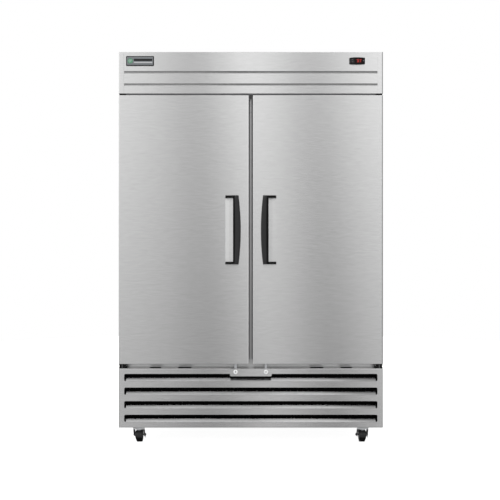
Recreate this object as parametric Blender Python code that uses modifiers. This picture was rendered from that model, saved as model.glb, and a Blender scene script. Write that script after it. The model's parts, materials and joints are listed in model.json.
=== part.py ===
"""Two-section reach-in refrigerator with a bottom-mounted condensing unit, as separate sub-parts.

Run with: blender --background --python part.py
Units are metres. +Z is up, the doors face -Y, and the origin is on the floor under the cabinet's middle.
"left" and "right" are as seen by someone who stands in front of the doors: left is -X.
"""

import math

import bmesh
import bpy
from mathutils import Matrix, Vector

# ---------------------------------------------------------------- driving dimensions
WIDTH = 1.380
HEIGHT = 2.062
DEPTH = 0.820
GAP = 0.0004  # between pieces that touch, because meshes hold 32-bit numbers
SHEET = 0.0012  # steel sheet of the outer panels
LINER_SHEET = 0.0010
BEND = 0.0018  # outer radius of the folds
HALF = WIDTH / 2
BACK_Y = DEPTH / 2  # rearmost face, on the machine compartment's cover
HANDLE_PROUD = 0.025
FRONT_Y = -DEPTH / 2 + HANDLE_PROUD  # plane of the door skins, the header and the grille

# heights above the floor
BASE_Z = 0.1000
GRILLE_TOP_Z = 0.4088
DOOR_LOW_Z = 0.4318
DOOR_TOP_Z = 1.8362
HEADER_LOW_Z = 1.8436

# doors
DOOR_THICK = 0.052
DOOR_GAP = 0.022  # between the two doors
SKIN_DEPTH = 0.050
DOOR_BACK_Y = FRONT_Y + DOOR_THICK
GASKET_THICK = 0.0145
GASKET_EDGE_X = 0.0042  # its fin shows in the gap between the doors
HINGE_X = HALF - 0.018
HINGE_Y = FRONT_Y + 0.026
PIN_R = 0.005
PIN_HOLE_R = 0.0056

# cabinet box
FRAME_Y = DOOR_BACK_Y + GASKET_THICK + 2 * GAP  # face that the gaskets close on
FRAME_THICK = 0.0155  # depth of the frame's returns into the openings
PANEL_FRONT_Y = FRAME_Y + SHEET + GAP
LINER_FRONT_Y = FRAME_Y + FRAME_THICK + GAP
PANEL_BACK_Y = BACK_Y - 0.0135
WALL = 0.060
MULLION_HALF = 0.030
MULLION_DEEP = 0.056
OPEN_LOW_Z = 0.466
OPEN_TOP_Z = 1.806
CEILING_Z = 1.995
UPPER_FRONT_Y = LINER_FRONT_Y + 0.057  # front of the evaporator space, behind the insulated header wall
CAVITY_BACK_Y = PANEL_BACK_Y - 0.060

# louvred front grille
SLOT_COUNT = 4
SLOT_PITCH = 0.071
FIRST_SLOT_Z = 0.3697
SLOT_HALF = 0.0113
LIP_FOLD = 0.0266  # from the slot's middle down to the fold of its lip
LIP_DEEP = 0.014
SLOT_HALF_WIDTH = 0.661
SLOT_CORNER = 0.007

# locks in the bracket under the doors
LOCK_X = 0.0795
LOCK_Z = 0.3916
LOCK_R = 0.0112
LOCK_BODY_R = 0.009
LOCK_PLATE_HALF = 0.109
LOCK_PLATE_LOW_Z = 0.3686
BOLT_HALF = 0.0065
BOLT_Y = FRONT_Y + 0.024
BOLT_THICK = 0.004
BOLT_TOP_Z = 0.4300

# handles
HANDLE_Z = 1.133
HANDLE_HALF = 0.179
ARM_THICK = 0.0125
ARM_END_X = 0.1330
GRIP_IN_X = 0.0927
GRIP_END_X = 0.0637
GRIP_MID_X = 0.0525
POCKET_FLOOR = (  # distance from the middle, and depth behind the skin
    (ARM_END_X, 0.0),
    (0.0905, 0.0105),
    (0.0780, 0.0300),
    (0.0645, 0.0300),
    (0.0645, 0.0),
)

# temperature controller in the header
CONTROL_X = 0.5547
CONTROL_Z = 2.0142
CONTROL_HALF = 0.0405
CONTROL_RISE = 0.0183  # half height at the middle
CONTROL_END_RISE = 0.0155  # half height at the ends
WINDOW_LOW_X = 0.546
WINDOW_HIGH_X = 0.580
WINDOW_HALF_Z = 0.0112
BUTTON_HALF_X = 0.0040
BUTTON_HALF_Z = 0.0030
BUTTONS = {
    "button_up": (0.5290, 2.0205),
    "button_down": (0.5290, 2.0080),
    "button_set": (0.5875, 2.0142),
}

# shelves: three wire shelves in each section
SHELF_LEVELS = {"lower": 0.780, "middle": 1.110, "upper": 1.440}
SHELF_LOW_X = 0.012
SHELF_HIGH_X = 0.618
SHELF_FRONT_Y = -0.245
SHELF_BACK_Y = 0.318
WIRE = 0.006
STANDARD_WIDE = 0.018
CLIP_TALL = 0.008

# casters and the chassis tray they carry
TRAY_SHEET = 0.002
CASTER_X = 0.5955
CASTER_FRONT_Y = -0.292
CASTER_BACK_Y = 0.300
WHEEL_R = 0.038
WHEEL_HALF = 0.015
WHEEL_SIDES = 24
TRAIL = 0.022  # from the swivel axis back to the axle
AXLE_R = 0.005
PLATE_THICK = 0.0035
PEDAL_WIDTHS = ((92, 0.0165), (112, 0.0165), (145, 0.0190), (200, 0.0150))  # half width at each angle
BRAKE_PIVOT_Y = 0.014  # behind the axle
BRAKE_PIVOT_Z = 0.0805

PARTS = bpy.data.collections.new("reach_in_refrigerator")
CUTTERS = bpy.data.collections.new("cutters")


# ---------------------------------------------------------------- helpers
def clear_scene():
    for obj in list(bpy.data.objects):
        bpy.data.objects.remove(obj, do_unlink=True)
    for collection in (PARTS, CUTTERS):
        bpy.context.scene.collection.children.link(collection)


def material(name, colour, roughness, metallic=0.0):
    made = bpy.data.materials.new(name)
    made.use_nodes = True
    shader = made.node_tree.nodes["Principled BSDF"]
    shader.inputs["Base Color"].default_value = (*colour, 1.0)
    shader.inputs["Roughness"].default_value = roughness
    shader.inputs["Metallic"].default_value = metallic
    made.diffuse_color = (*colour, 1.0)
    return made


def add(name, mesh, surface, at=(0, 0, 0)):
    """An object of that mesh: a sub-part if it has a surface, else a helper that isn't rendered."""
    obj = bpy.data.objects.new(name, mesh)
    obj.location = at
    (PARTS if surface else CUTTERS).objects.link(obj)
    if surface:
        mesh.materials.append(surface)
    else:
        obj.hide_render = True
        obj.display_type = "WIRE"
    return obj


def block(name, x, y, z, surface=None):
    """A box between two values on each axis, given in either order. Its origin is its middle."""
    low = Vector(min(pair) for pair in (x, y, z))
    high = Vector(max(pair) for pair in (x, y, z))
    mesh = bpy.data.meshes.new(name)
    shape = bmesh.new()
    bmesh.ops.create_cube(shape, size=1.0)
    bmesh.ops.scale(shape, vec=high - low, verts=shape.verts)
    shape.to_mesh(mesh)
    shape.free()
    return add(name, mesh, surface, (low + high) / 2)


def pan(name, x, y, z, sheet, open_side, surface=None, bend=0.0):
    """A folded sheet box with walls of that thickness, open where open_side points."""
    obj = block(name, x, y, z, surface)
    shape = bmesh.new()
    shape.from_mesh(obj.data)
    shape.normal_update()
    wanted = Vector(open_side)
    gone = [f for f in shape.faces if f.normal.dot(wanted) > 0.9]
    bmesh.ops.delete(shape, geom=gone, context="FACES")
    shape.to_mesh(obj.data)
    shape.free()
    if bend:
        soften(obj, bend, 2)
    shell = obj.modifiers.new("sheet", "SOLIDIFY")
    shell.thickness = sheet
    shell.offset = -1
    shell.use_even_offset = True
    return obj


def soften(obj, width, segments):
    """Rounds the edges that are sharper than 30 degrees."""
    edge = obj.modifiers.new("bend", "BEVEL")
    edge.width = width
    edge.segments = segments
    edge.limit_method = "ANGLE"
    edge.angle_limit = math.radians(30)


TURNS = {"X": (0, math.pi / 2, 0), "Y": (math.pi / 2, 0, 0), "Z": (0, 0, 0)}


def rod(name, axis, centre, radius, length, sides=24, surface=None, radius_far=None):
    """A cylinder or cone along an axis through its centre. Its first side is a flat that faces down."""
    mesh = bpy.data.meshes.new(name)
    shape = bmesh.new()
    bmesh.ops.create_cone(
        shape,
        cap_ends=True,
        segments=sides,
        radius1=radius,
        radius2=radius if radius_far is None else radius_far,
        depth=length,
    )
    shape.to_mesh(mesh)
    shape.free()
    obj = add(name, mesh, surface, centre)
    obj.rotation_euler = TURNS[axis]
    mesh.shade_smooth()
    mesh.set_sharp_from_angle(angle=math.radians(30))
    return obj


PLANES = {
    "XY": (0, 0, 0),
    "XZ": (math.pi / 2, 0, 0),
    "YZ": (math.pi / 2, 0, math.pi / 2),
}


def slab(name, plane, outline, low, high, surface=None):
    """A flat outline in a plane, filled from low to high along the third axis."""
    middle = (low + high) / 2
    half = abs(high - low) / 2
    mesh = bpy.data.meshes.new(name)
    shape = bmesh.new()
    ends = [[shape.verts.new((u, v, w)) for u, v in outline] for w in (-half, half)]
    for end in ends:
        shape.faces.new(end)
    for i in range(len(outline)):
        shape.faces.new((ends[0][i - 1], ends[0][i], ends[1][i], ends[1][i - 1]))
    bmesh.ops.recalc_face_normals(shape, faces=shape.faces)
    shape.to_mesh(mesh)
    shape.free()
    at = {"XY": (0, 0, middle), "XZ": (0, middle, 0), "YZ": (middle, 0, 0)}[plane]
    obj = add(name, mesh, surface, at)
    obj.rotation_euler = PLANES[plane]
    return obj


def boolean(obj, other, operation):
    change = obj.modifiers.new(other.name, "BOOLEAN")
    change.operation = operation
    change.object = other


def cut(obj, *cutters):
    for cutter in cutters:
        boolean(obj, cutter, "DIFFERENCE")


def join(obj, *pieces):
    for piece in pieces:
        boolean(obj, piece, "UNION")


def pivot(name, at):
    """An empty on a joint's axis."""
    empty = bpy.data.objects.new(name, None)
    empty.empty_display_size = 0.05
    empty.location = at
    PARTS.objects.link(empty)
    return empty


def hang(empty, *pieces):
    """Parents pieces to an unturned empty and keeps them where they are."""
    for piece in pieces:
        piece.parent = empty
        piece.location -= empty.location


def arc(centre, radius, start, end, steps):
    """Points on an arc, with angles in degrees."""
    turns = [math.radians(start + (end - start) * i / steps) for i in range(steps + 1)]
    return [(centre[0] + radius * math.cos(t), centre[1] + radius * math.sin(t)) for t in turns]


def rounded(x, z, radius, steps=3):
    """A rectangle with round corners, as an outline between two values on each axis."""
    corners = ((max(x), max(z), 0), (min(x), max(z), 90), (min(x), min(z), 180), (max(x), min(z), 270))
    points = []
    for corner_x, corner_z, start in corners:
        inward_x = radius if corner_x == min(x) else -radius
        inward_z = radius if corner_z == min(z) else -radius
        centre = (corner_x + inward_x, corner_z + inward_z)
        points += arc(centre, radius, start, start + 90, steps)
    return points


def bowed(half_width, half_mid, half_end, centre, steps=8):
    """An outline whose long edges bow outwards between straight ends."""
    points = []
    for side in (1, -1):
        for i in range(steps + 1):
            u = side * (1 - 2 * i / steps)
            rise = half_end + (half_mid - half_end) * (1 - u * u)
            points.append((centre[0] + u * half_width, centre[1] + side * rise))
    return points


# ---------------------------------------------------------------- cabinet box
def make_outer_panels(steel):
    inner_x = HALF - SHEET
    depth = (PANEL_FRONT_Y, PANEL_BACK_Y)
    under_top = HEIGHT - SHEET - GAP
    for side, tag in ((-1, "left"), (1, "right")):
        block(f"side_panel_{tag}", (side * inner_x, side * HALF), depth, (BASE_Z, under_top), steel)
    block("top_panel", (-HALF, HALF), depth, (HEIGHT - SHEET, HEIGHT), steel)
    block(
        "back_panel",
        (-inner_x + GAP, inner_x - GAP),
        (PANEL_BACK_Y - SHEET, PANEL_BACK_Y),
        (GRILLE_TOP_Z + 0.002, under_top),
        steel,
    )


def cavity(name, inset, front, surface=None):
    """The storage space and the evaporator space above it, as one block that is smaller by inset."""
    x = (-HALF + WALL + inset, HALF - WALL - inset)
    back = CAVITY_BACK_Y - inset
    main = block(name, x, (front, back), (OPEN_LOW_Z + inset, OPEN_TOP_Z - inset), surface)
    upper = block(
        name + "_upper",
        x,
        (UPPER_FRONT_Y + inset, back),
        (OPEN_TOP_Z - 2 * WALL, CEILING_Z - inset),
    )
    join(main, upper)
    return main


def make_insulated_box(foam, aluminium):
    outer = HALF - SHEET - GAP
    insulation = block(
        "cabinet_insulation",
        (-outer, outer),
        (PANEL_FRONT_Y, PANEL_BACK_Y - SHEET - GAP),
        (GRILLE_TOP_Z + 0.001, HEIGHT - SHEET - GAP),
        foam,
    )
    cut(insulation, cavity("foam_cavity", 0.0, PANEL_FRONT_Y - WALL))
    clear = SHEET + GAP
    around_returns = block(
        "return_clearance",
        (-HALF + WALL - clear, HALF - WALL + clear),
        (PANEL_FRONT_Y - WALL, LINER_FRONT_Y - GAP / 2),
        (OPEN_LOW_Z - clear, OPEN_TOP_Z + clear),
    )
    cut(insulation, around_returns)
    liner = cavity("interior_liner", GAP, LINER_FRONT_Y, aluminium)
    cut(liner, cavity("liner_cavity", GAP + LINER_SHEET, LINER_FRONT_Y - WALL))
    mullion_space = block(
        "mullion_space",
        (-MULLION_HALF, MULLION_HALF),
        (FRAME_Y, FRAME_Y + MULLION_DEEP + GAP),
        (OPEN_LOW_Z - WALL, OPEN_TOP_Z + 2 * LINER_SHEET),
    )
    cut(liner, mullion_space)
    join(liner, *shelf_supports())


def shelf_supports():
    """Standards on the liner's side walls and back, each with a clip under every shelf."""
    standards = []
    wall_x = HALF - WALL - GAP - LINER_SHEET / 2
    wall_y = CAVITY_BACK_Y - GAP - LINER_SHEET / 2
    low, high = OPEN_LOW_Z + 0.060, OPEN_TOP_Z - 0.080
    for side, tag in ((-1, "left"), (1, "right")):
        for row, y in (("front", SHELF_FRONT_Y + 0.045), ("back", SHELF_BACK_Y - 0.045)):
            name = f"standard_{tag}_{row}"
            half = STANDARD_WIDE / 2
            standards.append(
                block(name, (side * wall_x, side * (wall_x - 0.006)), (y - half, y + half), (low, high))
            )
            for level, z in SHELF_LEVELS.items():
                standards.append(
                    block(
                        f"clip_{tag}_{row}_{level}",
                        (side * (wall_x - 0.004), side * (SHELF_HIGH_X - 0.010)),
                        (y - half + 0.002, y + half - 0.002),
                        (z - WIRE / 2 - GAP - CLIP_TALL, z - WIRE / 2 - GAP),
                    )
                )
    standards.append(
        block("standard_middle", (-0.014, 0.014), (wall_y, wall_y - 0.006), (low, high))
    )
    for level, z in SHELF_LEVELS.items():
        standards.append(
            block(
                f"clip_middle_{level}",
                (-0.026, 0.026),
                (wall_y - 0.004, SHELF_BACK_Y - 0.012),
                (z - WIRE / 2 - GAP - CLIP_TALL, z - WIRE / 2 - GAP),
            )
        )
    return standards


def make_front_frame(steel):
    """The folded sheet that the gaskets close on, with the mullion between the two openings."""
    frame = block(
        "front_frame",
        (-HALF, HALF),
        (FRAME_Y, FRAME_Y + SHEET),
        (GRILLE_TOP_Z - 0.012, HEIGHT - SHEET - GAP),
        steel,
    )
    for side in (-1, 1):
        returns = block(
            f"return_{side}",
            (side * (MULLION_HALF - SHEET), side * (HALF - WALL + SHEET)),
            (FRAME_Y + SHEET / 2, FRAME_Y + FRAME_THICK),
            (OPEN_LOW_Z - SHEET, OPEN_TOP_Z + SHEET),
        )
        opening = block(
            f"door_opening_{side}",
            (side * MULLION_HALF, side * (HALF - WALL)),
            (FRAME_Y - WALL, FRAME_Y + WALL),
            (OPEN_LOW_Z, OPEN_TOP_Z),
        )
        join(frame, returns)
        cut(frame, opening)
    post_half = MULLION_HALF - SHEET / 2
    post = pan(
        "mullion_post",
        (-post_half, post_half),
        (FRAME_Y + SHEET / 2, FRAME_Y + MULLION_DEEP),
        (OPEN_LOW_Z + GAP, OPEN_TOP_Z - GAP),
        SHEET,
        (0, 0, 1),
    )
    join(frame, post)
    for level, z in SHELF_LEVELS.items():
        clip = block(
            f"clip_mullion_{level}",
            (-0.026, 0.026),
            (FRAME_Y + MULLION_DEEP - SHEET / 2, SHELF_FRONT_Y + 0.012),
            (z - WIRE / 2 - GAP - CLIP_TALL, z - WIRE / 2 - GAP),
        )
        join(frame, clip)


# ---------------------------------------------------------------- header
def make_header(steel):
    """The fascia above the doors, a folded sheet box with two pressed grooves."""
    groove_x = SLOT_HALF_WIDTH
    groove_deep = 0.0062
    back = FRAME_Y - GAP
    header = pan(
        "header_fascia",
        (-HALF, HALF),
        (FRONT_Y, back),
        (HEADER_LOW_Z, HEIGHT),
        SHEET,
        (0, 1, 0),
        steel,
        BEND,
    )
    for number, (low, top) in enumerate(((1.9490, 1.9622), (1.8850, 1.8975))):
        # The upper flank slopes inwards, and a steep lower flank comes back to the face.
        bottom = (FRONT_Y + groove_deep, low + 0.0015)
        space = [
            (FRONT_Y - WALL, top + 0.1 * WALL),
            (FRONT_Y, top),
            bottom,
            (FRONT_Y, low),
            (FRONT_Y - WALL, low - 0.1 * WALL),
        ]
        shell = [
            (FRONT_Y + SHEET / 2, top + SHEET),
            (bottom[0] + 1.5 * SHEET, bottom[1] + SHEET / 2),
            (bottom[0] + 1.5 * SHEET, bottom[1] - SHEET),
            (FRONT_Y + SHEET / 2, low - 1.5 * SHEET),
        ]
        channel = slab(f"groove_channel_{number}", "YZ", shell, -groove_x - SHEET, groove_x + SHEET)
        groove = slab(f"groove_{number}", "YZ", space, -groove_x, groove_x)
        join(header, channel)
        cut(header, groove)
    cut(
        header,
        block(
            "controller_cutout",
            (CONTROL_X - 0.0355, CONTROL_X + 0.0355),
            (FRONT_Y - WALL, FRONT_Y + 2 * SHEET),
            (CONTROL_Z - 0.0145, CONTROL_Z + 0.0145),
        ),
    )


def make_badge(plastic):
    outline = rounded((-0.6505, -0.5055), (1.989, 2.0393), 0.004)
    slab("name_badge", "XZ", outline, FRONT_Y - GAP - 0.004, FRONT_Y - GAP, plastic)


def make_controller(black, glass, grey):
    front = FRONT_Y - GAP - 0.006
    outline = bowed(CONTROL_HALF, CONTROL_RISE, CONTROL_END_RISE, (CONTROL_X, CONTROL_Z))
    bezel = slab("controller_bezel", "XZ", outline, front, FRONT_Y - GAP, black)
    housing = block(
        "controller_housing",
        (CONTROL_X - 0.0345, CONTROL_X + 0.0345),
        (front + 0.005, FRONT_Y + 0.045),
        (CONTROL_Z - 0.0135, CONTROL_Z + 0.0135),
    )
    window_z = (CONTROL_Z - WINDOW_HALF_Z, CONTROL_Z + WINDOW_HALF_Z)
    recess = block("window_recess", (WINDOW_LOW_X, WINDOW_HIGH_X), (front - WALL, front + 0.0025), window_z)
    join(bezel, housing)
    cut(bezel, recess)
    block(
        "controller_window",
        (WINDOW_LOW_X + GAP, WINDOW_HIGH_X - GAP),
        (front + 0.0005, front + 0.0025 - GAP),
        (window_z[0] + GAP, window_z[1] - GAP),
        glass,
    )
    clearance = 0.0004
    for name, (x, z) in BUTTONS.items():
        well = block(
            name + "_well",
            (x - BUTTON_HALF_X - clearance, x + BUTTON_HALF_X + clearance),
            (front - WALL, front + 0.0040),
            (z - BUTTON_HALF_Z - clearance, z + BUTTON_HALF_Z + clearance),
        )
        cut(bezel, well)
        button = block(
            name,
            (x - BUTTON_HALF_X, x + BUTTON_HALF_X),
            (front - 0.0008, front + 0.0025),
            (z - BUTTON_HALF_Z, z + BUTTON_HALF_Z),
            grey,
        )
        hang(pivot(name + "_travel", (x, front, z)), button)


# ---------------------------------------------------------------- grille and locks
def make_grille(steel):
    """The louvred panel: a folded box with slots whose lower edges are bent inwards as lips."""
    grille = pan(
        "front_grille",
        (-HALF, HALF),
        (FRONT_Y, FRAME_Y - GAP),
        (BASE_Z, GRILLE_TOP_Z),
        SHEET,
        (0, 1, 0),
        steel,
        BEND,
    )
    lip_length = math.hypot(LIP_DEEP, LIP_FOLD - SLOT_HALF)
    lip_tilt = math.atan2(LIP_DEEP, LIP_FOLD - SLOT_HALF)
    for number in range(SLOT_COUNT):
        z = FIRST_SLOT_Z - number * SLOT_PITCH
        corners = rounded(
            (-SLOT_HALF_WIDTH, SLOT_HALF_WIDTH), (z - LIP_FOLD, z + SLOT_HALF), SLOT_CORNER, 2
        )
        slot = slab(f"slot_{number}", "XZ", corners, FRONT_Y - WALL, FRONT_Y + 2 * SHEET)
        lip = block(
            f"lip_{number}",
            (-SLOT_HALF_WIDTH + 0.0085, SLOT_HALF_WIDTH - 0.0085),
            (0, SHEET),
            (-SHEET, lip_length),
        )
        centre_z = (lip_length - SHEET) / 2
        lip.location = (
            0,
            FRONT_Y + SHEET / 2 + centre_z * math.sin(lip_tilt),
            z - LIP_FOLD + centre_z * math.cos(lip_tilt) - SHEET / 2,
        )
        lip.rotation_euler = (-lip_tilt, 0, 0)
        cut(grille, slot)
        join(grille, lip)
    # Cut-outs in the top ledge: two pairs of hook slots, and a slot for each lock bolt.
    ledge_z = (GRILLE_TOP_Z - 2 * SHEET, GRILLE_TOP_Z + WALL)
    for side, tag in ((-1, "left"), (1, "right")):
        for number, (near, far) in enumerate(((0.312, 0.382), (0.472, 0.532))):
            hook_slot = block(
                f"hook_slot_{tag}_{number}",
                (side * near, side * far),
                (FRONT_Y + 0.022, FRONT_Y + 0.046),
                ledge_z,
            )
            cut(grille, hook_slot)
        bolt_slot = block(
            f"bolt_slot_{tag}",
            (side * LOCK_X - BOLT_HALF - 0.003, side * LOCK_X + BOLT_HALF + 0.003),
            (BOLT_Y - 0.003, BOLT_Y + BOLT_THICK + 0.003),
            ledge_z,
        )
        lock_hole = rod(
            f"lock_hole_{tag}", "Y", (side * LOCK_X, FRONT_Y, LOCK_Z), LOCK_BODY_R + 0.001, 0.02, 16
        )
        cut(grille, bolt_slot, lock_hole)


def make_locks(steel, chrome):
    corner = 0.004
    outline = [
        (-LOCK_PLATE_HALF, GRILLE_TOP_Z),
        (-LOCK_PLATE_HALF, LOCK_PLATE_LOW_Z + corner),
        (-LOCK_PLATE_HALF + corner, LOCK_PLATE_LOW_Z),
        (LOCK_PLATE_HALF - corner, LOCK_PLATE_LOW_Z),
        (LOCK_PLATE_HALF, LOCK_PLATE_LOW_Z + corner),
        (LOCK_PLATE_HALF, GRILLE_TOP_Z),
    ]
    plate_front = FRONT_Y - GAP - 0.0015
    plate = slab("lock_bracket", "XZ", outline, plate_front, FRONT_Y - GAP, steel)
    for side, tag in ((-1, "left"), (1, "right")):
        x = side * LOCK_X
        cut(plate, rod(f"plate_hole_{tag}", "Y", (x, FRONT_Y, LOCK_Z), LOCK_BODY_R + 0.0004, 0.02, 16))
        body_back = BOLT_Y - GAP
        body_front = plate_front - GAP
        barrel = rod(
            f"lock_barrel_{tag}",
            "Y",
            (x, (body_front - 0.001 + body_back) / 2, LOCK_Z),
            LOCK_BODY_R,
            body_back - body_front + 0.001,
            20,
            chrome,
        )
        join(barrel, rod(f"lock_face_{tag}", "Y", (x, body_front - 0.0015, LOCK_Z), LOCK_R, 0.003, 20))
        keyway = block(
            f"keyway_{tag}",
            (x - 0.0011, x + 0.0011),
            (body_front - WALL, body_front + 0.005),
            (LOCK_Z - 0.0045, LOCK_Z + 0.0045),
        )
        cut(barrel, keyway)
        hang(pivot(f"lock_turn_{tag}", (x, body_front, LOCK_Z)), barrel)
        bolt = block(
            f"lock_bolt_{tag}",
            (x - BOLT_HALF, x + BOLT_HALF),
            (BOLT_Y, BOLT_Y + BOLT_THICK),
            (LOCK_Z - 0.014, BOLT_TOP_Z),
            steel,
        )
        hang(pivot(f"bolt_travel_{tag}", (x, BOLT_Y, BOLT_TOP_Z)), bolt)


# ---------------------------------------------------------------- doors
def mitred(points, distance):
    """An open path moved sideways by a distance, with its corners kept sharp."""
    points = [Vector(p) for p in points]
    normals = []
    for a, b in zip(points, points[1:]):
        along = (b - a).normalized()
        normals.append(Vector((-along.y, along.x)))
    moved = [points[0] + normals[0] * distance]
    for point, before, after in zip(points[1:], normals, normals[1:]):
        middle = (before + after).normalized()
        moved.append(point + middle * (distance / middle.dot(before)))
    moved.append(points[-1] + normals[-1] * distance)
    return moved


def crossing(a, b, depth):
    """Where the line through two points reaches a depth."""
    return a.lerp(b, (depth - a.y) / (b.y - a.y))


def pocket(name, side, grow):
    """The handle's recess: a gentle floor beside the grip and a deep space for fingertips behind it."""
    depth = SHEET / 2 if grow else -0.02
    path = mitred(POCKET_FLOOR, -grow)
    outline = [crossing(path[0], path[1], depth), *path[1:-1], crossing(path[-2], path[-1], depth)]
    half = HANDLE_HALF - 0.006 + grow
    turned = [(side * x, FRONT_Y + y) for x, y in outline]
    return slab(name, "XY", turned, HANDLE_Z - half, HANDLE_Z + half)


def pin_hole(name, side, z, length):
    return rod(name, "Z", (side * HINGE_X, HINGE_Y, z), PIN_HOLE_R, length, 16)


def bolt_hole(name, side):
    x = side * LOCK_X
    slack = 0.0015
    return block(
        name,
        (x - BOLT_HALF - slack, x + BOLT_HALF + slack),
        (BOLT_Y - slack, BOLT_Y + BOLT_THICK + slack),
        (DOOR_LOW_Z - WALL, DOOR_LOW_Z + 0.016),
    )


def make_door(side, tag, steel, foam, white, rubber, black):
    """Skin, foam core, inner liner, gasket and handle, all hung on the hinge axis."""
    hinge = pivot(f"door_hinge_{tag}", (side * HINGE_X, HINGE_Y, DOOR_LOW_Z))
    x = (side * DOOR_GAP / 2, side * HALF)
    z = (DOOR_LOW_Z, DOOR_TOP_Z)
    skin = pan(
        f"door_skin_{tag}",
        x,
        (FRONT_Y, FRONT_Y + SKIN_DEPTH),
        z,
        LINER_SHEET,
        (0, 1, 0),
        steel,
        BEND,
    )
    join(skin, pocket(f"pocket_shell_{tag}", side, LINER_SHEET))
    cut(skin, pocket(f"pocket_space_{tag}", side, 0))

    inset = LINER_SHEET + GAP
    core = block(
        f"door_insulation_{tag}",
        (x[0] + side * inset, x[1] - side * inset),
        (FRONT_Y + inset, FRONT_Y + SKIN_DEPTH),
        (z[0] + inset, z[1] - inset),
        foam,
    )
    # The liner's raised panel faces the storage space, and stops short of the frame's face.
    panel_x = (side * (MULLION_HALF + 0.012), side * (HALF - WALL - 0.012))
    panel_z = (OPEN_LOW_Z + 0.012, OPEN_TOP_Z - 0.012)
    flange = (FRONT_Y + SKIN_DEPTH + GAP, DOOR_BACK_Y)
    raised = GASKET_THICK - 0.003
    liner = block(f"door_liner_{tag}", x, flange, z, white)
    join(liner, block(f"raised_panel_{tag}", panel_x, (flange[0], DOOR_BACK_Y + raised), panel_z))
    wall = 0.0015
    hollow_x = (panel_x[0] + side * wall, panel_x[1] - side * wall)
    hollow_z = (panel_z[0] + wall, panel_z[1] - wall)
    cut(
        liner,
        block(f"raised_hollow_{tag}", hollow_x, (FRONT_Y, DOOR_BACK_Y + raised - wall), hollow_z),
    )
    fill_x = (hollow_x[0] + side * GAP, hollow_x[1] - side * GAP)
    fill_z = (hollow_z[0] + GAP, hollow_z[1] - GAP)
    fill_y = (FRONT_Y + SKIN_DEPTH / 2, DOOR_BACK_Y + raised - wall - GAP)
    join(core, block(f"raised_fill_{tag}", fill_x, fill_y, fill_z))
    cut(core, pocket(f"pocket_clearance_{tag}", side, LINER_SHEET + GAP))

    for end_z, name in ((DOOR_LOW_Z, "low"), (DOOR_TOP_Z, "top")):
        hole = pin_hole(f"pin_hole_{tag}_{name}", side, end_z, 0.044)
        cut(skin, hole)
        cut(core, hole)
    lock_hole = bolt_hole(f"bolt_hole_{tag}", side)
    cut(skin, lock_hole)
    cut(core, lock_hole)

    inner = 0.002
    outer = 0.016
    gasket = block(
        f"door_gasket_{tag}",
        (side * GASKET_EDGE_X, side * (HALF - WALL + outer)),
        (DOOR_BACK_Y + GAP, DOOR_BACK_Y + GAP + GASKET_THICK),
        (OPEN_LOW_Z - outer, OPEN_TOP_Z + outer),
        rubber,
    )
    cut(
        gasket,
        block(
            f"gasket_hole_{tag}",
            (side * (MULLION_HALF - inner), side * (HALF - WALL + inner)),
            (FRONT_Y, FRAME_Y + WALL),
            (OPEN_LOW_Z - inner, OPEN_TOP_Z + inner),
        ),
    )

    handle = slab(
        f"door_handle_{tag}",
        "XZ",
        handle_outline(side),
        FRONT_Y - HANDLE_PROUD,
        FRONT_Y - GAP,
        black,
    )
    soften(handle, 0.0035, 2)
    hang(hinge, skin, core, liner, gasket, handle)


def handle_outline(side, steps=10):
    """A bracket shape: two short arms and a grip whose outer edge bows towards the free edge."""
    low = HANDLE_Z - HANDLE_HALF
    high = HANDLE_Z + HANDLE_HALF
    bow = []
    for i in range(steps + 1):
        u = 1 - 2 * i / steps
        x = GRIP_END_X + (GRIP_MID_X - GRIP_END_X) * (1 - u * u)
        bow.append((side * x, HANDLE_Z + u * HANDLE_HALF))
    return [
        (side * ARM_END_X, high),
        *bow,
        (side * ARM_END_X, low),
        (side * ARM_END_X, low + ARM_THICK),
        (side * GRIP_IN_X, low + ARM_THICK),
        (side * GRIP_IN_X, high - ARM_THICK),
        (side * ARM_END_X, high - ARM_THICK),
    ]


def make_hinge_brackets(side, tag, black):
    """The pins' brackets, fixed to the front frame above and below the door."""
    plate_x = (side * (HALF - 0.0015), side * (HALF - 0.0360))
    plate_y = (FRONT_Y + 0.012, FRAME_Y - GAP)
    at = (side * HINGE_X, HINGE_Y)
    upper_z = (DOOR_TOP_Z + 0.0022, HEADER_LOW_Z - 0.0016)
    upper = block(f"upper_hinge_{tag}", plate_x, plate_y, upper_z, black)
    pin_z = (DOOR_TOP_Z - 0.018, upper_z[0] + 0.001)
    pin = rod(f"upper_pin_{tag}", "Z", (*at, sum(pin_z) / 2), PIN_R, pin_z[1] - pin_z[0], 12)
    join(upper, pin)

    lower_z = (GRILLE_TOP_Z + 0.0012, GRILLE_TOP_Z + 0.0055)
    lower = block(f"lower_hinge_{tag}", plate_x, plate_y, lower_z, black)
    cam_low, cam_waist, cam_top = lower_z[1] - 0.001, lower_z[1] + 0.0075, DOOR_LOW_Z - 0.0035
    cams = []
    for number, (low, top, radius, radius_top) in enumerate(
        ((cam_low, cam_waist, 0.0150, 0.0105), (cam_waist - 0.0005, cam_top, 0.0110, 0.0145))
    ):
        name = f"hinge_cam_{tag}_{number}"
        cams.append(rod(name, "Z", (*at, (low + top) / 2), radius, top - low, 20, None, radius_top))
    pin_z = (cam_top - 0.002, DOOR_LOW_Z + 0.018)
    pin = rod(f"lower_pin_{tag}", "Z", (*at, sum(pin_z) / 2), PIN_R, pin_z[1] - pin_z[0], 12)
    join(lower, *cams, pin)


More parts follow.
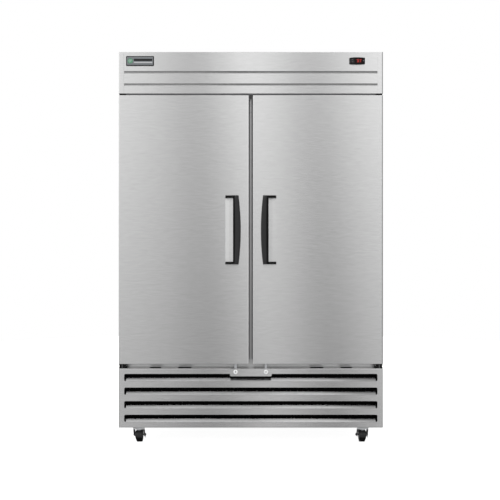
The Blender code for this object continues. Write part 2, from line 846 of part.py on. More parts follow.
# ---------------------------------------------------------------- shelves
def make_shelves(coated_wire):
    """Wire shelves that share one lattice, three in each section."""
    width = SHELF_HIGH_X - SHELF_LOW_X
    depth = SHELF_BACK_Y - SHELF_FRONT_Y
    mesh = bpy.data.meshes.new("wire_shelf")
    shape = bmesh.new()
    bmesh.ops.create_grid(shape, x_segments=12, y_segments=3, size=0.5)
    bmesh.ops.scale(shape, vec=(width - WIRE, depth - WIRE, 1), verts=shape.verts)
    shape.to_mesh(mesh)
    shape.free()
    mesh.materials.append(coated_wire)
    for side, tag in ((-1, "left"), (1, "right")):
        for level, z in SHELF_LEVELS.items():
            shelf = bpy.data.objects.new(f"shelf_{tag}_{level}", mesh)
            PARTS.objects.link(shelf)
            middle_x = side * (SHELF_LOW_X + SHELF_HIGH_X) / 2
            shelf.location = (middle_x, (SHELF_FRONT_Y + SHELF_BACK_Y) / 2, z)
            wires = shelf.modifiers.new("wires", "WIREFRAME")
            wires.thickness = WIRE
            wires.use_boundary = True
            wires.use_even_offset = True


# ---------------------------------------------------------------- refrigeration
def fan(name, centre, radius, hub_radius, blades, surface):
    """An axial fan on a Y axis: a hub with pitched blades."""
    depth = 0.022
    hub = rod(name, "Y", centre, hub_radius, depth, 12, surface)
    for number in range(blades):
        turn = 2 * math.pi * number / blades
        reach = (radius + hub_radius * 0.6) / 2
        length = radius - hub_radius * 0.6
        blade = block(f"{name}_blade_{number}", (-length / 2, length / 2), (-0.001, 0.001), (-0.022, 0.022))
        blade.location = Vector(centre) + reach * Vector((math.cos(turn), 0, math.sin(turn)))
        pitch = math.radians(24)
        blade.rotation_mode = "XYZ"
        blade.rotation_euler = (pitch, -turn, 0)
        join(hub, blade)
    hang(pivot(name + "_axis", centre), hub)
    return hub


def motor(name, centre, radius, length, shaft_tip, fan_hub):
    """A fan motor on a Y axis, with a shaft that reaches into the hub. Returns its pieces."""
    body = rod(name, "Y", centre, radius, length, 16)
    shaft_middle = (centre[1] + shaft_tip) / 2
    shaft_length = abs(centre[1] - shaft_tip)
    shaft = rod(name + "_shaft", "Y", (centre[0], shaft_middle, centre[2]), 0.003, shaft_length, 8)
    bore = rod(name + "_bore", "Y", (centre[0], shaft_middle, centre[2]), 0.0036, shaft_length + 0.003, 8)
    cut(fan_hub, bore)
    return body, shaft


def make_evaporator(white, aluminium, black):
    """The fan-coil unit under the ceiling, behind the header."""
    half = 0.420
    front_y, back_y = -0.060, 0.300
    low_z, top_z = 1.842, CEILING_Z - 2 * LINER_SHEET
    housing = pan(
        "evaporator_housing",
        (-half, half),
        (front_y, back_y),
        (low_z, top_z),
        SHEET,
        (0, 0, 1),
        white,
        BEND,
    )
    return_air = block(
        "return_air_opening",
        (-half + 0.02, half - 0.02),
        (back_y - 0.01, back_y + WALL),
        (low_z + 0.02, top_z - 0.02),
    )
    cut(housing, return_air)
    fan_z = (low_z + top_z) / 2
    for side, tag in ((-1, "left"), (1, "right")):
        x = side * 0.200
        cut(housing, rod(f"fan_opening_{tag}", "Y", (x, front_y, fan_z), 0.068, 0.02, 24))
        fan_y = front_y + 0.030
        hub = fan(f"evaporator_fan_{tag}", (x, fan_y, fan_z), 0.062, 0.018, 4, black)
        at = (x, fan_y + 0.040, fan_z)
        pieces = motor(f"evaporator_motor_{tag}", at, 0.026, 0.040, fan_y, hub)
        stand = block(
            f"motor_stand_{tag}",
            (x - 0.012, x + 0.012),
            (at[1] - 0.004, at[1] + 0.004),
            (low_z + SHEET / 2, fan_z),
        )
        join(housing, *pieces, stand)
    block(
        "evaporator_coil",
        (-half + 0.030, half - 0.030),
        (front_y + 0.120, back_y - 0.080),
        (low_z + SHEET + GAP, top_z - 0.010),
        aluminium,
    )


def make_condensing_unit(black, aluminium, steel):
    """Coil, fan, shroud and compressor on the base frame, behind the grille."""
    floor_z = BASE_Z + TRAY_SHEET + GAP
    coil_x = (-0.360, 0.060)
    coil_y = (-0.300, -0.250)
    coil_z = (floor_z, 0.375)
    block("condenser_coil", coil_x, coil_y, coil_z, black)
    shroud_y = (coil_y[1] + 0.001, coil_y[1] + 0.100)
    shroud = pan("condenser_fan_shroud", coil_x, shroud_y, coil_z, 0.0015, (0, -1, 0), steel)
    fan_x = sum(coil_x) / 2
    fan_y = shroud_y[1] - 0.018
    fan_z = sum(coil_z) / 2
    cut(shroud, rod("shroud_hole", "Y", (fan_x, shroud_y[1], fan_z), 0.112, 0.02, 28))
    hub = fan("condenser_fan", (fan_x, fan_y, fan_z), 0.104, 0.026, 5, aluminium)
    at = (fan_x, fan_y - 0.045, fan_z)
    pieces = motor("condenser_motor", at, 0.038, 0.046, fan_y, hub)
    bar = block(
        "motor_bar",
        (coil_x[0] + 0.0007, coil_x[1] - 0.0007),
        (at[1] - 0.0035, at[1] + 0.0035),
        (fan_z - 0.012, fan_z + 0.012),
    )
    join(shroud, *pieces, bar)

    middle_x, middle_y = 0.300, 0.120
    foot_z = (floor_z + 0.014, floor_z + 0.018)
    body_z = (foot_z[1] + 0.008, foot_z[1] + 0.190)
    body_length = body_z[1] - body_z[0]
    at = (middle_x, middle_y, sum(body_z) / 2)
    compressor = rod("compressor", "Z", at, 0.085, body_length, 24, black)
    dome = compressor.modifiers.new("dome", "BEVEL")
    dome.width = 0.040
    dome.segments = 4
    dome.limit_method = "ANGLE"
    dome.angle_limit = math.radians(60)
    foot = block(
        "compressor_foot",
        (middle_x - 0.115, middle_x + 0.115),
        (middle_y - 0.080, middle_y + 0.080),
        foot_z,
    )
    post = rod("compressor_post", "Z", (middle_x, middle_y, foot_z[1] + 0.008), 0.040, 0.020, 16)
    terminal_box = block(
        "terminal_box",
        (middle_x + 0.070, middle_x + 0.110),
        (middle_y - 0.030, middle_y + 0.030),
        (body_z[0] + 0.060, body_z[0] + 0.130),
    )
    join(compressor, post, foot, terminal_box)
    for x in (middle_x - 0.098, middle_x + 0.098):
        for y in (middle_y - 0.063, middle_y + 0.063):
            grommet_z = (floor_z, foot_z[0] + 0.002)
            grommet = rod(
                "compressor_grommet", "Z", (x, y, sum(grommet_z) / 2), 0.011, grommet_z[1] - grommet_z[0], 12
            )
            join(compressor, grommet)


def make_base(steel):
    """The chassis tray with corner posts and the casters' plates, and the rear cover."""
    outer = HALF - SHEET - GAP
    tray_y = (PANEL_FRONT_Y, PANEL_BACK_Y)
    tray = pan(
        "base_frame",
        (-outer, outer),
        tray_y,
        (BASE_Z, BASE_Z + 0.040),
        TRAY_SHEET,
        (0, 0, 1),
        steel,
    )
    for side in (-1, 1):
        x = side * CASTER_X
        for caster_y, row in ((CASTER_FRONT_Y, "front"), (CASTER_BACK_Y, "back")):
            plate = block(
                f"caster_plate_{row}_{side}",
                (x - 0.036, x + 0.036),
                (max(caster_y - 0.046, tray_y[0]), caster_y + 0.046),
                (BASE_Z - PLATE_THICK, BASE_Z + TRAY_SHEET / 2),
            )
            near = tray_y[0] + 0.001 if row == "front" else tray_y[1] - 0.001
            far = near + 0.040 if row == "front" else near - 0.040
            post = block(
                f"corner_post_{row}_{side}",
                (side * (outer - 0.001), side * (outer - 0.004)),
                (near, far),
                (BASE_Z + TRAY_SHEET / 2, GRILLE_TOP_Z + 0.001 - GAP),
            )
            join(tray, plate, post)

    cover = pan(
        "rear_cover",
        (-HALF + 0.002, HALF - 0.002),
        (PANEL_BACK_Y + GAP, BACK_Y),
        (BASE_Z + 0.002, GRILLE_TOP_Z - 0.004),
        SHEET,
        (0, -1, 0),
        steel,
        BEND,
    )
    for number in range(6):
        z = BASE_Z + 0.075 + number * 0.030
        vent = block(
            f"rear_vent_{number}", (-0.450, 0.450), (BACK_Y - 0.004, BACK_Y + WALL), (z, z + 0.010)
        )
        cut(cover, vent)


# ---------------------------------------------------------------- casters
def make_caster(x, y, tag, zinc, rubber):
    """A fork that swivels about Z and a wheel on an axle behind the swivel axis."""
    swivel = pivot(f"caster_swivel_{tag}", (x, y, BASE_Z))
    top_z = BASE_Z - PLATE_THICK - GAP
    axle_at = (x, y + TRAIL, WHEEL_R)
    fork = rod(f"caster_fork_{tag}", "Z", (x, y, top_z - 0.004), 0.027, 0.008, 20, zinc)
    bridge = block(
        f"fork_bridge_{tag}",
        (x - 0.0225, x + 0.0225),
        (y - 0.024, y + 0.028),
        (top_z - 0.0095, top_z - 0.0065),
    )
    join(fork, bridge)
    leg_outline = [
        (y - 0.022, top_z - 0.0078),
        (y + 0.008, WHEEL_R - 0.008),
        (y + 0.016, WHEEL_R - 0.013),
        (y + 0.028, WHEEL_R - 0.013),
        (y + 0.035, WHEEL_R - 0.004),
        (y + 0.026, top_z - 0.0078),
    ]
    for side in (-1, 1):
        leg = slab(f"fork_leg_{tag}_{side}", "YZ", leg_outline, x + side * 0.0190, x + side * 0.0217)
        nut_at = (x + side * 0.0265, axle_at[1], axle_at[2])
        join(fork, leg, rod(f"axle_nut_{tag}_{side}", "X", nut_at, 0.0075, 0.011, 6))
    join(fork, rod(f"axle_{tag}", "X", axle_at, AXLE_R, 0.046, 12))

    half_turn = math.pi / WHEEL_SIDES
    wheel = rod(
        f"caster_wheel_{tag}",
        "X",
        axle_at,
        WHEEL_R / math.cos(half_turn),
        2 * WHEEL_HALF,
        WHEEL_SIDES,
        rubber,
    )
    wheel.data.transform(Matrix.Rotation(half_turn, 4, "Z"))
    cut(wheel, rod(f"wheel_bore_{tag}", "X", axle_at, AXLE_R + 0.0008, 0.06, 12))
    hang(swivel, fork)
    hang(pivot(f"wheel_axis_{tag}", axle_at), wheel)


def make_brake(x, y, tag, black):
    """A foot pedal that wraps the front of the wheel and gets narrower towards its tip."""
    axle = (y + TRAIL, WHEEL_R)
    near, far = WHEEL_R + 0.0030, WHEEL_R + 0.0060
    start, end = PEDAL_WIDTHS[0][0], PEDAL_WIDTHS[-1][0]
    outline = [
        (axle[0] + 0.018, WHEEL_R + near),
        (axle[0] + 0.018, WHEEL_R + far),
        *arc(axle, far, start, end, 12),
        *arc(axle, near, end, start, 12),
    ]
    pedal = slab(f"caster_brake_{tag}", "YZ", outline, x - 0.5, x + 0.5, black)
    for vertex in pedal.data.vertices:
        angle = math.degrees(math.atan2(vertex.co.y - axle[1], vertex.co.x - axle[0])) % 360
        half = PEDAL_WIDTHS[0][1]
        for (a, half_a), (b, half_b) in zip(PEDAL_WIDTHS, PEDAL_WIDTHS[1:]):
            if angle >= a:
                half = half_a + (half_b - half_a) * min(1, (angle - a) / (b - a))
        vertex.co.z = math.copysign(half, vertex.co.z)
    hang(pivot(f"brake_axis_{tag}", (x, axle[0] + BRAKE_PIVOT_Y, BRAKE_PIVOT_Z)), pedal)


# ---------------------------------------------------------------- the whole refrigerator
def main():
    clear_scene()
    steel = material("brushed_steel", (0.62, 0.62, 0.62), 0.32, 1.0)
    panel_steel = material("panel_steel", (0.66, 0.66, 0.67), 0.38, 1.0)
    foam = material("foam", (0.86, 0.80, 0.62), 0.9)
    aluminium = material("aluminium", (0.80, 0.80, 0.81), 0.35, 1.0)
    white = material("white_plastic", (0.86, 0.87, 0.88), 0.4)
    rubber = material("gasket_vinyl", (0.16, 0.16, 0.17), 0.6)
    black = material("black_plastic", (0.02, 0.02, 0.022), 0.42)
    black_paint = material("black_paint", (0.015, 0.015, 0.015), 0.5)
    chrome = material("chrome", (0.85, 0.85, 0.86), 0.12, 1.0)
    glass = material("display_glass", (0.03, 0.005, 0.006), 0.08)
    badge = material("badge_plate", (0.10, 0.10, 0.11), 0.35)
    wire = material("coated_wire", (0.88, 0.89, 0.90), 0.35)
    zinc = material("zinc_plate", (0.70, 0.71, 0.73), 0.3, 1.0)
    tread = material("tread", (0.03, 0.03, 0.03), 0.6)

    make_outer_panels(panel_steel)
    make_insulated_box(foam, aluminium)
    make_front_frame(steel)
    make_header(steel)
    make_badge(badge)
    make_controller(black, glass, black_paint)
    make_grille(steel)
    make_locks(steel, chrome)
    for side, tag in ((-1, "left"), (1, "right")):
        make_door(side, tag, steel, foam, white, rubber, black)
        make_hinge_brackets(side, tag, black_paint)
        make_caster(side * CASTER_X, CASTER_FRONT_Y, f"front_{tag}", zinc, tread)
        make_caster(side * CASTER_X, CASTER_BACK_Y, f"back_{tag}", zinc, tread)
        make_brake(side * CASTER_X, CASTER_FRONT_Y, f"front_{tag}", black)
    make_shelves(wire)
    make_evaporator(white, aluminium, black)
    make_condensing_unit(black_paint, aluminium, panel_steel)
    make_base(panel_steel)


main()
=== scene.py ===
"""Looks of a two-section reach-in refrigerator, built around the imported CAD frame.

Everything is in metres, in the frame's own coordinates: +Z up, the doors face -Y.
"""

import json
from math import cos, pi, radians, sin

import bmesh
import bpy
from mathutils import Matrix, Vector

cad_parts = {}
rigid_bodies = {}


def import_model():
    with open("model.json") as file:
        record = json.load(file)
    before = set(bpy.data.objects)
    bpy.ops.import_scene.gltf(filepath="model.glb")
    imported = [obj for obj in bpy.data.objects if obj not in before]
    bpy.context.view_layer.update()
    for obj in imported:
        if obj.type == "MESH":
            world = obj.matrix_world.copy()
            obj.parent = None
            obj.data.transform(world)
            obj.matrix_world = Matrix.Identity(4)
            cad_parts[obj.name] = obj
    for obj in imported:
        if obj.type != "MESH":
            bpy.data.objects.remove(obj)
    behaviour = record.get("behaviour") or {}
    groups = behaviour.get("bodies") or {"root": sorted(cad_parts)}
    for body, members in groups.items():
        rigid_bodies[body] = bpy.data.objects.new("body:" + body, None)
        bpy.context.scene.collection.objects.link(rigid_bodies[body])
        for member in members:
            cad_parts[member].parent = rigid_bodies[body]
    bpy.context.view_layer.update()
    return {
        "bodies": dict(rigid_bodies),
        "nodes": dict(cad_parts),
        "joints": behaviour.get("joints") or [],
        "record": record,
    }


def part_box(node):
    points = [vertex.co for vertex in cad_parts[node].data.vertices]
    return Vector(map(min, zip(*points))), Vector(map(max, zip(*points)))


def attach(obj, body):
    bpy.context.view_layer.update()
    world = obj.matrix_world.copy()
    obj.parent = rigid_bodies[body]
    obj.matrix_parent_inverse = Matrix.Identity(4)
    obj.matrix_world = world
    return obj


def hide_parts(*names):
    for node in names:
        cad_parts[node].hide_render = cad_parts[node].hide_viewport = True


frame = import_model()
NODES = frame["nodes"]
SIDES = ((-1, "left"), (1, "right"))


# ---------------------------------------------------------------- shapes
AXES = {"X": Matrix.Rotation(pi / 2, 4, "Y"), "Y": Matrix.Rotation(-pi / 2, 4, "X"), "Z": Matrix.Identity(4)}


def block(size):
    """A box about the origin."""
    local = bmesh.new()
    bmesh.ops.create_cube(local, size=1.0)
    bmesh.ops.scale(local, vec=size, verts=local.verts)
    return local


def new_object(name, data):
    """An object in the scene that shows a mesh or a camera."""
    obj = bpy.data.objects.new(name, data)
    bpy.context.scene.collection.objects.link(obj)
    return obj


class Shape:
    """Collects solids in one mesh, in the frame's coordinates."""

    def __init__(self):
        self.mesh = bmesh.new()

    def take(self, local, matrix=None, bevel=0.0, segments=2, angle=30):
        """Adds a mesh, after moving it and rounding the edges sharper than the angle."""
        if matrix is not None:
            bmesh.ops.transform(local, matrix=matrix, verts=local.verts)
        if bevel:
            local.normal_update()
            limit = radians(angle)
            edges = [e for e in local.edges if len(e.link_faces) == 2 and e.calc_face_angle() > limit]
            bmesh.ops.bevel(
                local, geom=edges, offset=bevel, segments=segments, profile=0.5, affect="EDGES", clamp_overlap=True,
            )
        bmesh.ops.recalc_face_normals(local, faces=local.faces)
        mesh = bpy.data.meshes.new("piece")
        local.to_mesh(mesh)
        local.free()
        self.mesh.from_mesh(mesh)
        bpy.data.meshes.remove(mesh)
        return self

    def box(self, low, high, bevel=0.0, segments=2):
        low, high = Vector(low), Vector(high)
        low, high = Vector(map(min, low, high)), Vector(map(max, low, high))
        return self.take(block(high - low), Matrix.Translation((low + high) / 2), bevel, segments)

    def rod(self, axis, centre, radius, length, sides=24, bevel=0.0, segments=2):
        local = bmesh.new()
        bmesh.ops.create_cone(local, cap_ends=True, segments=sides, radius1=radius, radius2=radius, depth=length)
        return self.take(local, Matrix.Translation(Vector(centre)) @ AXES[axis], bevel, segments, angle=40)

    def ring(self, axis, centre, profile, sides=32):
        """Turns a closed profile of (radius, height) points about an axis."""
        local = bmesh.new()
        rows = []
        for number in range(sides):
            angle = 2 * pi * number / sides
            c, s = cos(angle), sin(angle)
            rows.append([local.verts.new((r * c, r * s, h)) for r, h in profile])
        for number in range(sides):
            a, b = rows[number - 1], rows[number]
            for i in range(len(profile)):
                local.faces.new((a[i - 1], a[i], b[i], b[i - 1]))
        bmesh.ops.remove_doubles(local, verts=local.verts, dist=1e-06)
        return self.take(local, Matrix.Translation(Vector(centre)) @ AXES[axis])

    def prism(self, plane, outline, low, high, bevel=0.0, segments=2):
        """Fills an outline from low to high along the axis that its plane leaves out."""
        order = {"XY": (0, 1, 2), "XZ": (0, 2, 1), "YZ": (1, 2, 0)}[plane]
        local = bmesh.new()
        ends = []
        for level in (low, high):
            row = []
            for u, v in outline:
                point = [0.0, 0.0, 0.0]
                point[order[0]], point[order[1]], point[order[2]] = u, v, level
                row.append(local.verts.new(point))
            ends.append(row)
            local.faces.new(row)
        for i in range(len(outline)):
            local.faces.new((ends[0][i - 1], ends[0][i], ends[1][i], ends[1][i - 1]))
        return self.take(local, None, bevel, segments)

    def tube(self, points, radius, sides=8, closed=False):
        """A round tube along points, with turned end caps unless it is closed."""
        points = [Vector(p) for p in points]
        count = len(points)
        local = bmesh.new()
        rows = []
        normal = None
        for i, point in enumerate(points):
            before = points[i - 1] if closed or i else points[0]
            after = points[(i + 1) % count] if closed or i < count - 1 else points[-1]
            along = (after - before).normalized()
            if normal is None:
                normal = along.orthogonal().normalized()
            normal = (normal - along * normal.dot(along)).normalized()
            other = along.cross(normal)
            row = []
            for k in range(sides):
                angle = 2 * pi * k / sides
                offset = cos(angle) * normal + sin(angle) * other
                row.append(local.verts.new(point + radius * offset))
            rows.append(row)
        spans = range(count if closed else count - 1)
        for i in spans:
            a, b = rows[i], rows[(i + 1) % count]
            for k in range(sides):
                local.faces.new((a[k - 1], a[k], b[k], b[k - 1]))
        if not closed:
            local.faces.new(rows[0])
            local.faces.new(rows[-1])
        return self.take(local)

    def done(self, name, material, body="cabinet", slot=None, smooth=35, replaces=()):
        """Makes the piece: it rides on a body and takes the material. The slot argument is not used."""
        mesh = bpy.data.meshes.new(name)
        self.mesh.to_mesh(mesh)
        self.mesh.free()
        mesh.shade_smooth()
        mesh.set_sharp_from_angle(angle=radians(smooth))
        obj = new_object(name, mesh)
        mesh.materials.append(material)
        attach(obj, body)
        if replaces:
            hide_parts(*replaces)
        normals = obj.modifiers.new("flat_faces_stay_flat", "WEIGHTED_NORMAL")
        normals.keep_sharp = True
        return obj


def carve(obj, *shapes):
    """Cuts shapes out of an object and keeps the result in its mesh."""
    for number, shape in enumerate(shapes):
        mesh = bpy.data.meshes.new("cutter")
        shape.mesh.to_mesh(mesh)
        shape.mesh.free()
        cutter = new_object("cutter", mesh)
        change = obj.modifiers.new(f"cut_{number}", "BOOLEAN")
        change.operation = "DIFFERENCE"
        change.object = cutter
        bpy.context.view_layer.update()
        result = bpy.data.meshes.new_from_object(obj.evaluated_get(bpy.context.evaluated_depsgraph_get()))
        obj.modifiers.clear()
        obj.data = result
        bpy.data.objects.remove(cutter)
    obj.data.shade_smooth()
    obj.data.set_sharp_from_angle(angle=radians(35))
    return obj


def arc(centre, radius, start, end, steps):
    turns = [radians(start + (end - start) * i / steps) for i in range(steps + 1)]
    return [(centre[0] + radius * cos(t), centre[1] + radius * sin(t)) for t in turns]


def rounded(x, z, radius, steps=4):
    """The outline of a rectangle with round corners."""
    points = []
    for cx, cz, start in (
        (max(x) - radius, max(z) - radius, 0), (min(x) + radius, max(z) - radius, 90),
        (min(x) + radius, min(z) + radius, 180), (max(x) - radius, min(z) + radius, 270),
    ):
        points += arc((cx, cz), radius, start, start + 90, steps)
    return points


def bend_path(points, radius):
    """Rounds the corners of a path of points."""
    steps = 5
    points = [Vector(p) for p in points]
    path = [points[0]]
    for before, corner, after in zip(points, points[1:], points[2:]):
        to_before = (before - corner).normalized()
        to_after = (after - corner).normalized()
        reach = min(radius, (before - corner).length / 2.01, (after - corner).length / 2.01)
        start, end = corner + to_before * reach, corner + to_after * reach
        for i in range(steps + 1):
            t = i / steps
            path.append(start.lerp(corner, t).lerp(corner.lerp(end, t), t))
    path.append(points[-1])
    return path


# ---------------------------------------------------------------- materials
def set_inputs(node, inputs):
    """Sets a node's inputs. A value that is a socket is linked."""
    for key, value in inputs.items():
        if isinstance(value, bpy.types.NodeSocket):
            node.id_data.links.new(value, node.inputs[key])
        else:
            node.inputs[key].default_value = value


def add_node(tree, kind, inputs=None, **settings):
    """A new node with its settings and inputs."""
    node = tree.nodes.new("ShaderNode" + kind)
    for key, value in settings.items():
        setattr(node, key, value)
    set_inputs(node, inputs or {})
    return node


def triple(value):
    """Three numbers, or one number three times."""
    return value if isinstance(value, tuple) else (value,) * 3


def ramp(tree, factor, stops, interpolation="LINEAR"):
    node = add_node(tree, "ValToRGB", {"Fac": factor})
    node.color_ramp.interpolation = interpolation
    elements = node.color_ramp.elements
    while len(elements) < len(stops):
        elements.new(0.5)
    for element, (position, colour) in zip(elements, stops):
        element.position = position
        element.color = (*triple(colour), 1.0)
    return node.outputs["Color"]


def surface(
    name, dark, light, roughness, metallic=0.0, grain=40, detail=3.0, bump=0.0, bump_grain=None, depth=0.0003,
    anisotropic=0.0, coat=0.0, specular=0.5, wear=None,
):
    """A Principled material whose colour and roughness vary with a grain, with a finer grain in its bump."""
    grain = triple(grain)
    made = bpy.data.materials.new(name)
    made.use_nodes = True
    tree = made.node_tree
    shader = tree.nodes["Principled BSDF"]
    where = add_node(tree, "TexCoord").outputs["Object"]

    def noise_of(scale, detail):
        spread = add_node(tree, "Mapping", {"Vector": where, "Scale": scale}).outputs[0]
        inputs = {"Vector": spread, "Scale": 1.0, "Detail": detail, "Roughness": 0.6}
        return add_node(tree, "TexNoise", inputs).outputs["Fac"]

    noise = noise_of(grain, detail)
    colour = ramp(tree, noise, ((0.25, dark), (0.75, light)))
    if wear is not None:
        edge = add_node(tree, "NewGeometry").outputs["Pointiness"]
        worn = ramp(tree, edge, ((0.49, 0.0), (0.56, 1.0)))
        mixed = add_node(tree, "Mix", {0: worn, 6: colour, 7: (*triple(wear), 1.0)}, data_type="RGBA")
        colour = mixed.outputs[2]
    spread = {"From Min": 0.25, "From Max": 0.75, "To Min": roughness[0], "To Max": roughness[1]}
    rough = add_node(tree, "MapRange", {"Value": noise, **spread}).outputs[0]
    set_inputs(shader, {"Base Color": colour, "Roughness": rough, "Metallic": metallic, "Specular IOR Level": specular})
    if coat:
        set_inputs(shader, {"Coat Weight": coat, "Coat Roughness": 0.15})
    if bump:
        fine = noise_of(triple(bump_grain or tuple(8 * g for g in grain)), 2.0)
        raised = add_node(tree, "Bump", {"Height": fine, "Strength": bump, "Distance": depth})
        set_inputs(shader, {"Normal": raised.outputs[0]})
    if anisotropic:
        tangent = add_node(tree, "Tangent", direction_type="RADIAL", axis="Z").outputs[0]
        set_inputs(shader, {"Anisotropic": anisotropic, "Anisotropic Rotation": 0.25, "Tangent": tangent})
    return made


def glow(name, colour, strength, grain=900):
    """A lit material with a slight mottle, for the display's segments and the interior lamp."""
    dim, bright = (tuple(part * c for c in colour) for part in (0.3, 0.4))
    made = surface(name, dim, bright, (0.3, 0.4), grain=grain)
    shader = made.node_tree.nodes["Principled BSDF"]
    set_inputs(shader, {"Emission Color": (*colour, 1.0), "Emission Strength": strength})
    return made


# Grains of sheet brushed lengthwise: coarse for its colour, fine for its bump.
BRUSH = (24, 24, 230)
FINE_BRUSH = (14, 14, 1500)
STEEL = surface(
    "brushed_steel_front", 0.605, 0.675, (0.192, 0.208), 1.0, BRUSH, 4.0, 0.03, FINE_BRUSH, 0.0002,
    anisotropic=1.0,
)
# A darker, rougher copy of the steel: painted shade on the face frame, which sits recessed behind the doors.
FRAME_STEEL_SHADE = surface("frame_steel_painted_shade", 0.48, 0.53, (0.3, 0.34), 1.0, BRUSH, 3.0, 0.03, FINE_BRUSH, 0.0002)
PANEL = surface(
    "satin_steel_panel", 0.58, 0.62, (0.36, 0.4), 1.0, BRUSH, 3.0, 0.05, FINE_BRUSH, 0.0002, anisotropic=0.6,
)
TOP = surface(
    "satin_steel_top", 0.56, 0.6, (0.4, 0.44), 1.0, (9, 420, 420), 3.0, 0.05, (14, 1500, 1500), 0.0002,
)
GALVANISED = surface("galvanised_sheet", 0.5, 0.58, (0.42, 0.48), 0.95, 70, 4.0, 0.08, 160, 0.0004)
TRAY = surface("black_coated_tray", 0.012, 0.022, (0.5, 0.65), 0.0, 60, 3.0, 0.15)
FOAM = surface("rigid_foam", (0.7, 0.62, 0.42), (0.82, 0.74, 0.54), (0.85, 0.95), 0.0, 120, 4.0, 0.5)
LINER = surface("stucco_aluminium_liner", 0.72, 0.8, (0.34, 0.44), 0.85, 60, 3.0, 0.25, 260, 0.0006)
WHITE = surface("white_moulding", (0.78, 0.79, 0.8), (0.84, 0.85, 0.86), (0.3, 0.4), 0.0, 30, 2.0, 0.08)
GASKET = surface("gasket_vinyl", (0.22, 0.22, 0.225), (0.27, 0.27, 0.275), (0.5, 0.62), 0.0, 80, 3.0, 0.15)
BLACK = surface(
    "grained_black_plastic", (0.006, 0.006, 0.0065), (0.011, 0.011, 0.0115), (0.34, 0.44), 0.0, 90, 3.0, 0.18,
    900, 0.0002, specular=0.42,
)
BEZEL = surface(
    "gloss_black_bezel", (0.004, 0.004, 0.0045), (0.007, 0.007, 0.0075), (0.24, 0.3), 0.0, 60, 2.0, 0.03,
    specular=0.1,
)
PAINT = surface(
    "black_powder_coat", 0.012, 0.022, (0.42, 0.55), 0.0, 70, 3.0, 0.3, 700, 0.0003, wear=0.06,
)
CHROME = surface("polished_chrome", 0.74, 0.82, (0.06, 0.12), 1.0, 150, 2.0, 0.02)
SEAL = surface(
    "seal_vinyl", (0.1, 0.1, 0.105), (0.13, 0.13, 0.135), (0.5, 0.62), 0.0, 80, 3.0, 0.15, specular=0.3,
)
# The lock's plug and ring: chrome, given a near-white colour with a large diffuse part, a painted highlight that stands
# for the chrome's bright reflection.
PLUG_CHROME_HIGHLIGHT = surface("satin_chrome_painted_highlight", 0.95, 1.0, (0.36, 0.44), 0.7, 150, 2.0, 0.02, specular=0.8)
RING_CHROME_HIGHLIGHT = surface("lock_ring_painted_highlight", 0.92, 0.97, (0.34, 0.42), 0.45, 150, 2.0, 0.02, specular=0.8)
HINGE = surface("black_cast_hinge", 0.003, 0.006, (0.5, 0.6), 0.0, 90, 3.0, 0.2, specular=0.12)
# A duller, darker black: the arms' own plastic, and painted shade where it covers the grip's inner bevel.
ARM_AND_BEVEL_SHADE = surface("dull_black_plastic_and_bevel_shade", 0.003, 0.006, (0.5, 0.6), 0.0, 90, 3.0, 0.2, specular=0.12)
# Near-black for painted shade: it stands in for holes, slots and openings that are dark because light doesn't reach in,
# and for a cast shadow.
PAINTED_SHADE = surface("unlit_recess", 0.002, 0.004, (0.7, 0.9), 0.0, 100, 2.0, 0.05, specular=0.02)
GLASS = surface(
    "display_window", (0.016, 0.002, 0.002), (0.022, 0.003, 0.003), (0.1, 0.15), 0.0, 80, 2.0, 0.02,
    specular=0.15,
)
BADGE = surface(
    "badge_plate", (0.16, 0.17, 0.18), (0.2, 0.21, 0.22), (0.3, 0.38), 0.4, (14, 14, 400), 3.0, 0.05,
)
BADGE_EDGE = surface(
    "badge_edge", (0.01, 0.01, 0.011), (0.018, 0.018, 0.019), (0.4, 0.5), 0.0, 90, 2.0, 0.05, specular=0.2,
)
INK = surface("badge_print", (0.5, 0.51, 0.52), (0.58, 0.59, 0.6), (0.35, 0.45), 0.0, 300, 2.0, 0.05)
ICE = surface("badge_disc", (0.03, 0.2, 0.09), (0.06, 0.3, 0.14), (0.3, 0.4), 0.0, 200, 2.0, 0.05)
WIRE = surface(
    "epoxy_coated_wire", (0.7, 0.71, 0.72), (0.8, 0.81, 0.82), (0.28, 0.38), 0.0, 90, 2.0, 0.1, coat=0.3,
)
ZINC = surface("bright_zinc", (0.52, 0.53, 0.55), (0.72, 0.73, 0.75), (0.16, 0.3), 1.0, 120, 4.0, 0.08)
TREAD = surface("tread_rubber", 0.002, 0.004, (0.55, 0.72), 0.0, 140, 3.0, 0.3, specular=0.08)
HUB = surface(
    "wheel_core", (0.045, 0.045, 0.047), (0.065, 0.065, 0.068), (0.4, 0.5), 0.0, 120, 2.0, 0.15,
)
FINS = surface("aluminium_fins", 0.66, 0.78, (0.28, 0.4), 1.0, 40, 2.0, 0.05)
BLACK_FINS = surface("coated_fins", 0.01, 0.02, (0.5, 0.62), 0.0, 60, 2.0, 0.1)
COPPER = surface("copper_tube", (0.55, 0.24, 0.12), (0.75, 0.36, 0.2), (0.2, 0.35), 1.0, 60, 3.0, 0.08)
LAMP = glow("lamp_diffuser", (1.0, 0.98, 0.94), 1.2, 60)
DIGIT = glow("red_segment", (1.0, 0.05, 0.03), 0.75)
# A lighter copy of the front steel: a painted highlight on the hem along each door's inner edge.
HEM_HIGHLIGHT = surface(
    "door_hem_painted_highlight", 0.68, 0.71, (0.192, 0.208), 1.0, BRUSH, 3.0, 0.03, FINE_BRUSH, 0.0002, anisotropic=1.0,
)
UNLIT = surface("unlit_segment", (0.03, 0.003, 0.003), (0.045, 0.005, 0.005), (0.3, 0.4), 0.0, 900, 2.0)
KEYPAD = surface(
    "key_panel", (0.016, 0.016, 0.017), (0.022, 0.022, 0.023), (0.35, 0.45), 0.0, 200, 2.0, 0.08, specular=0.2,
)
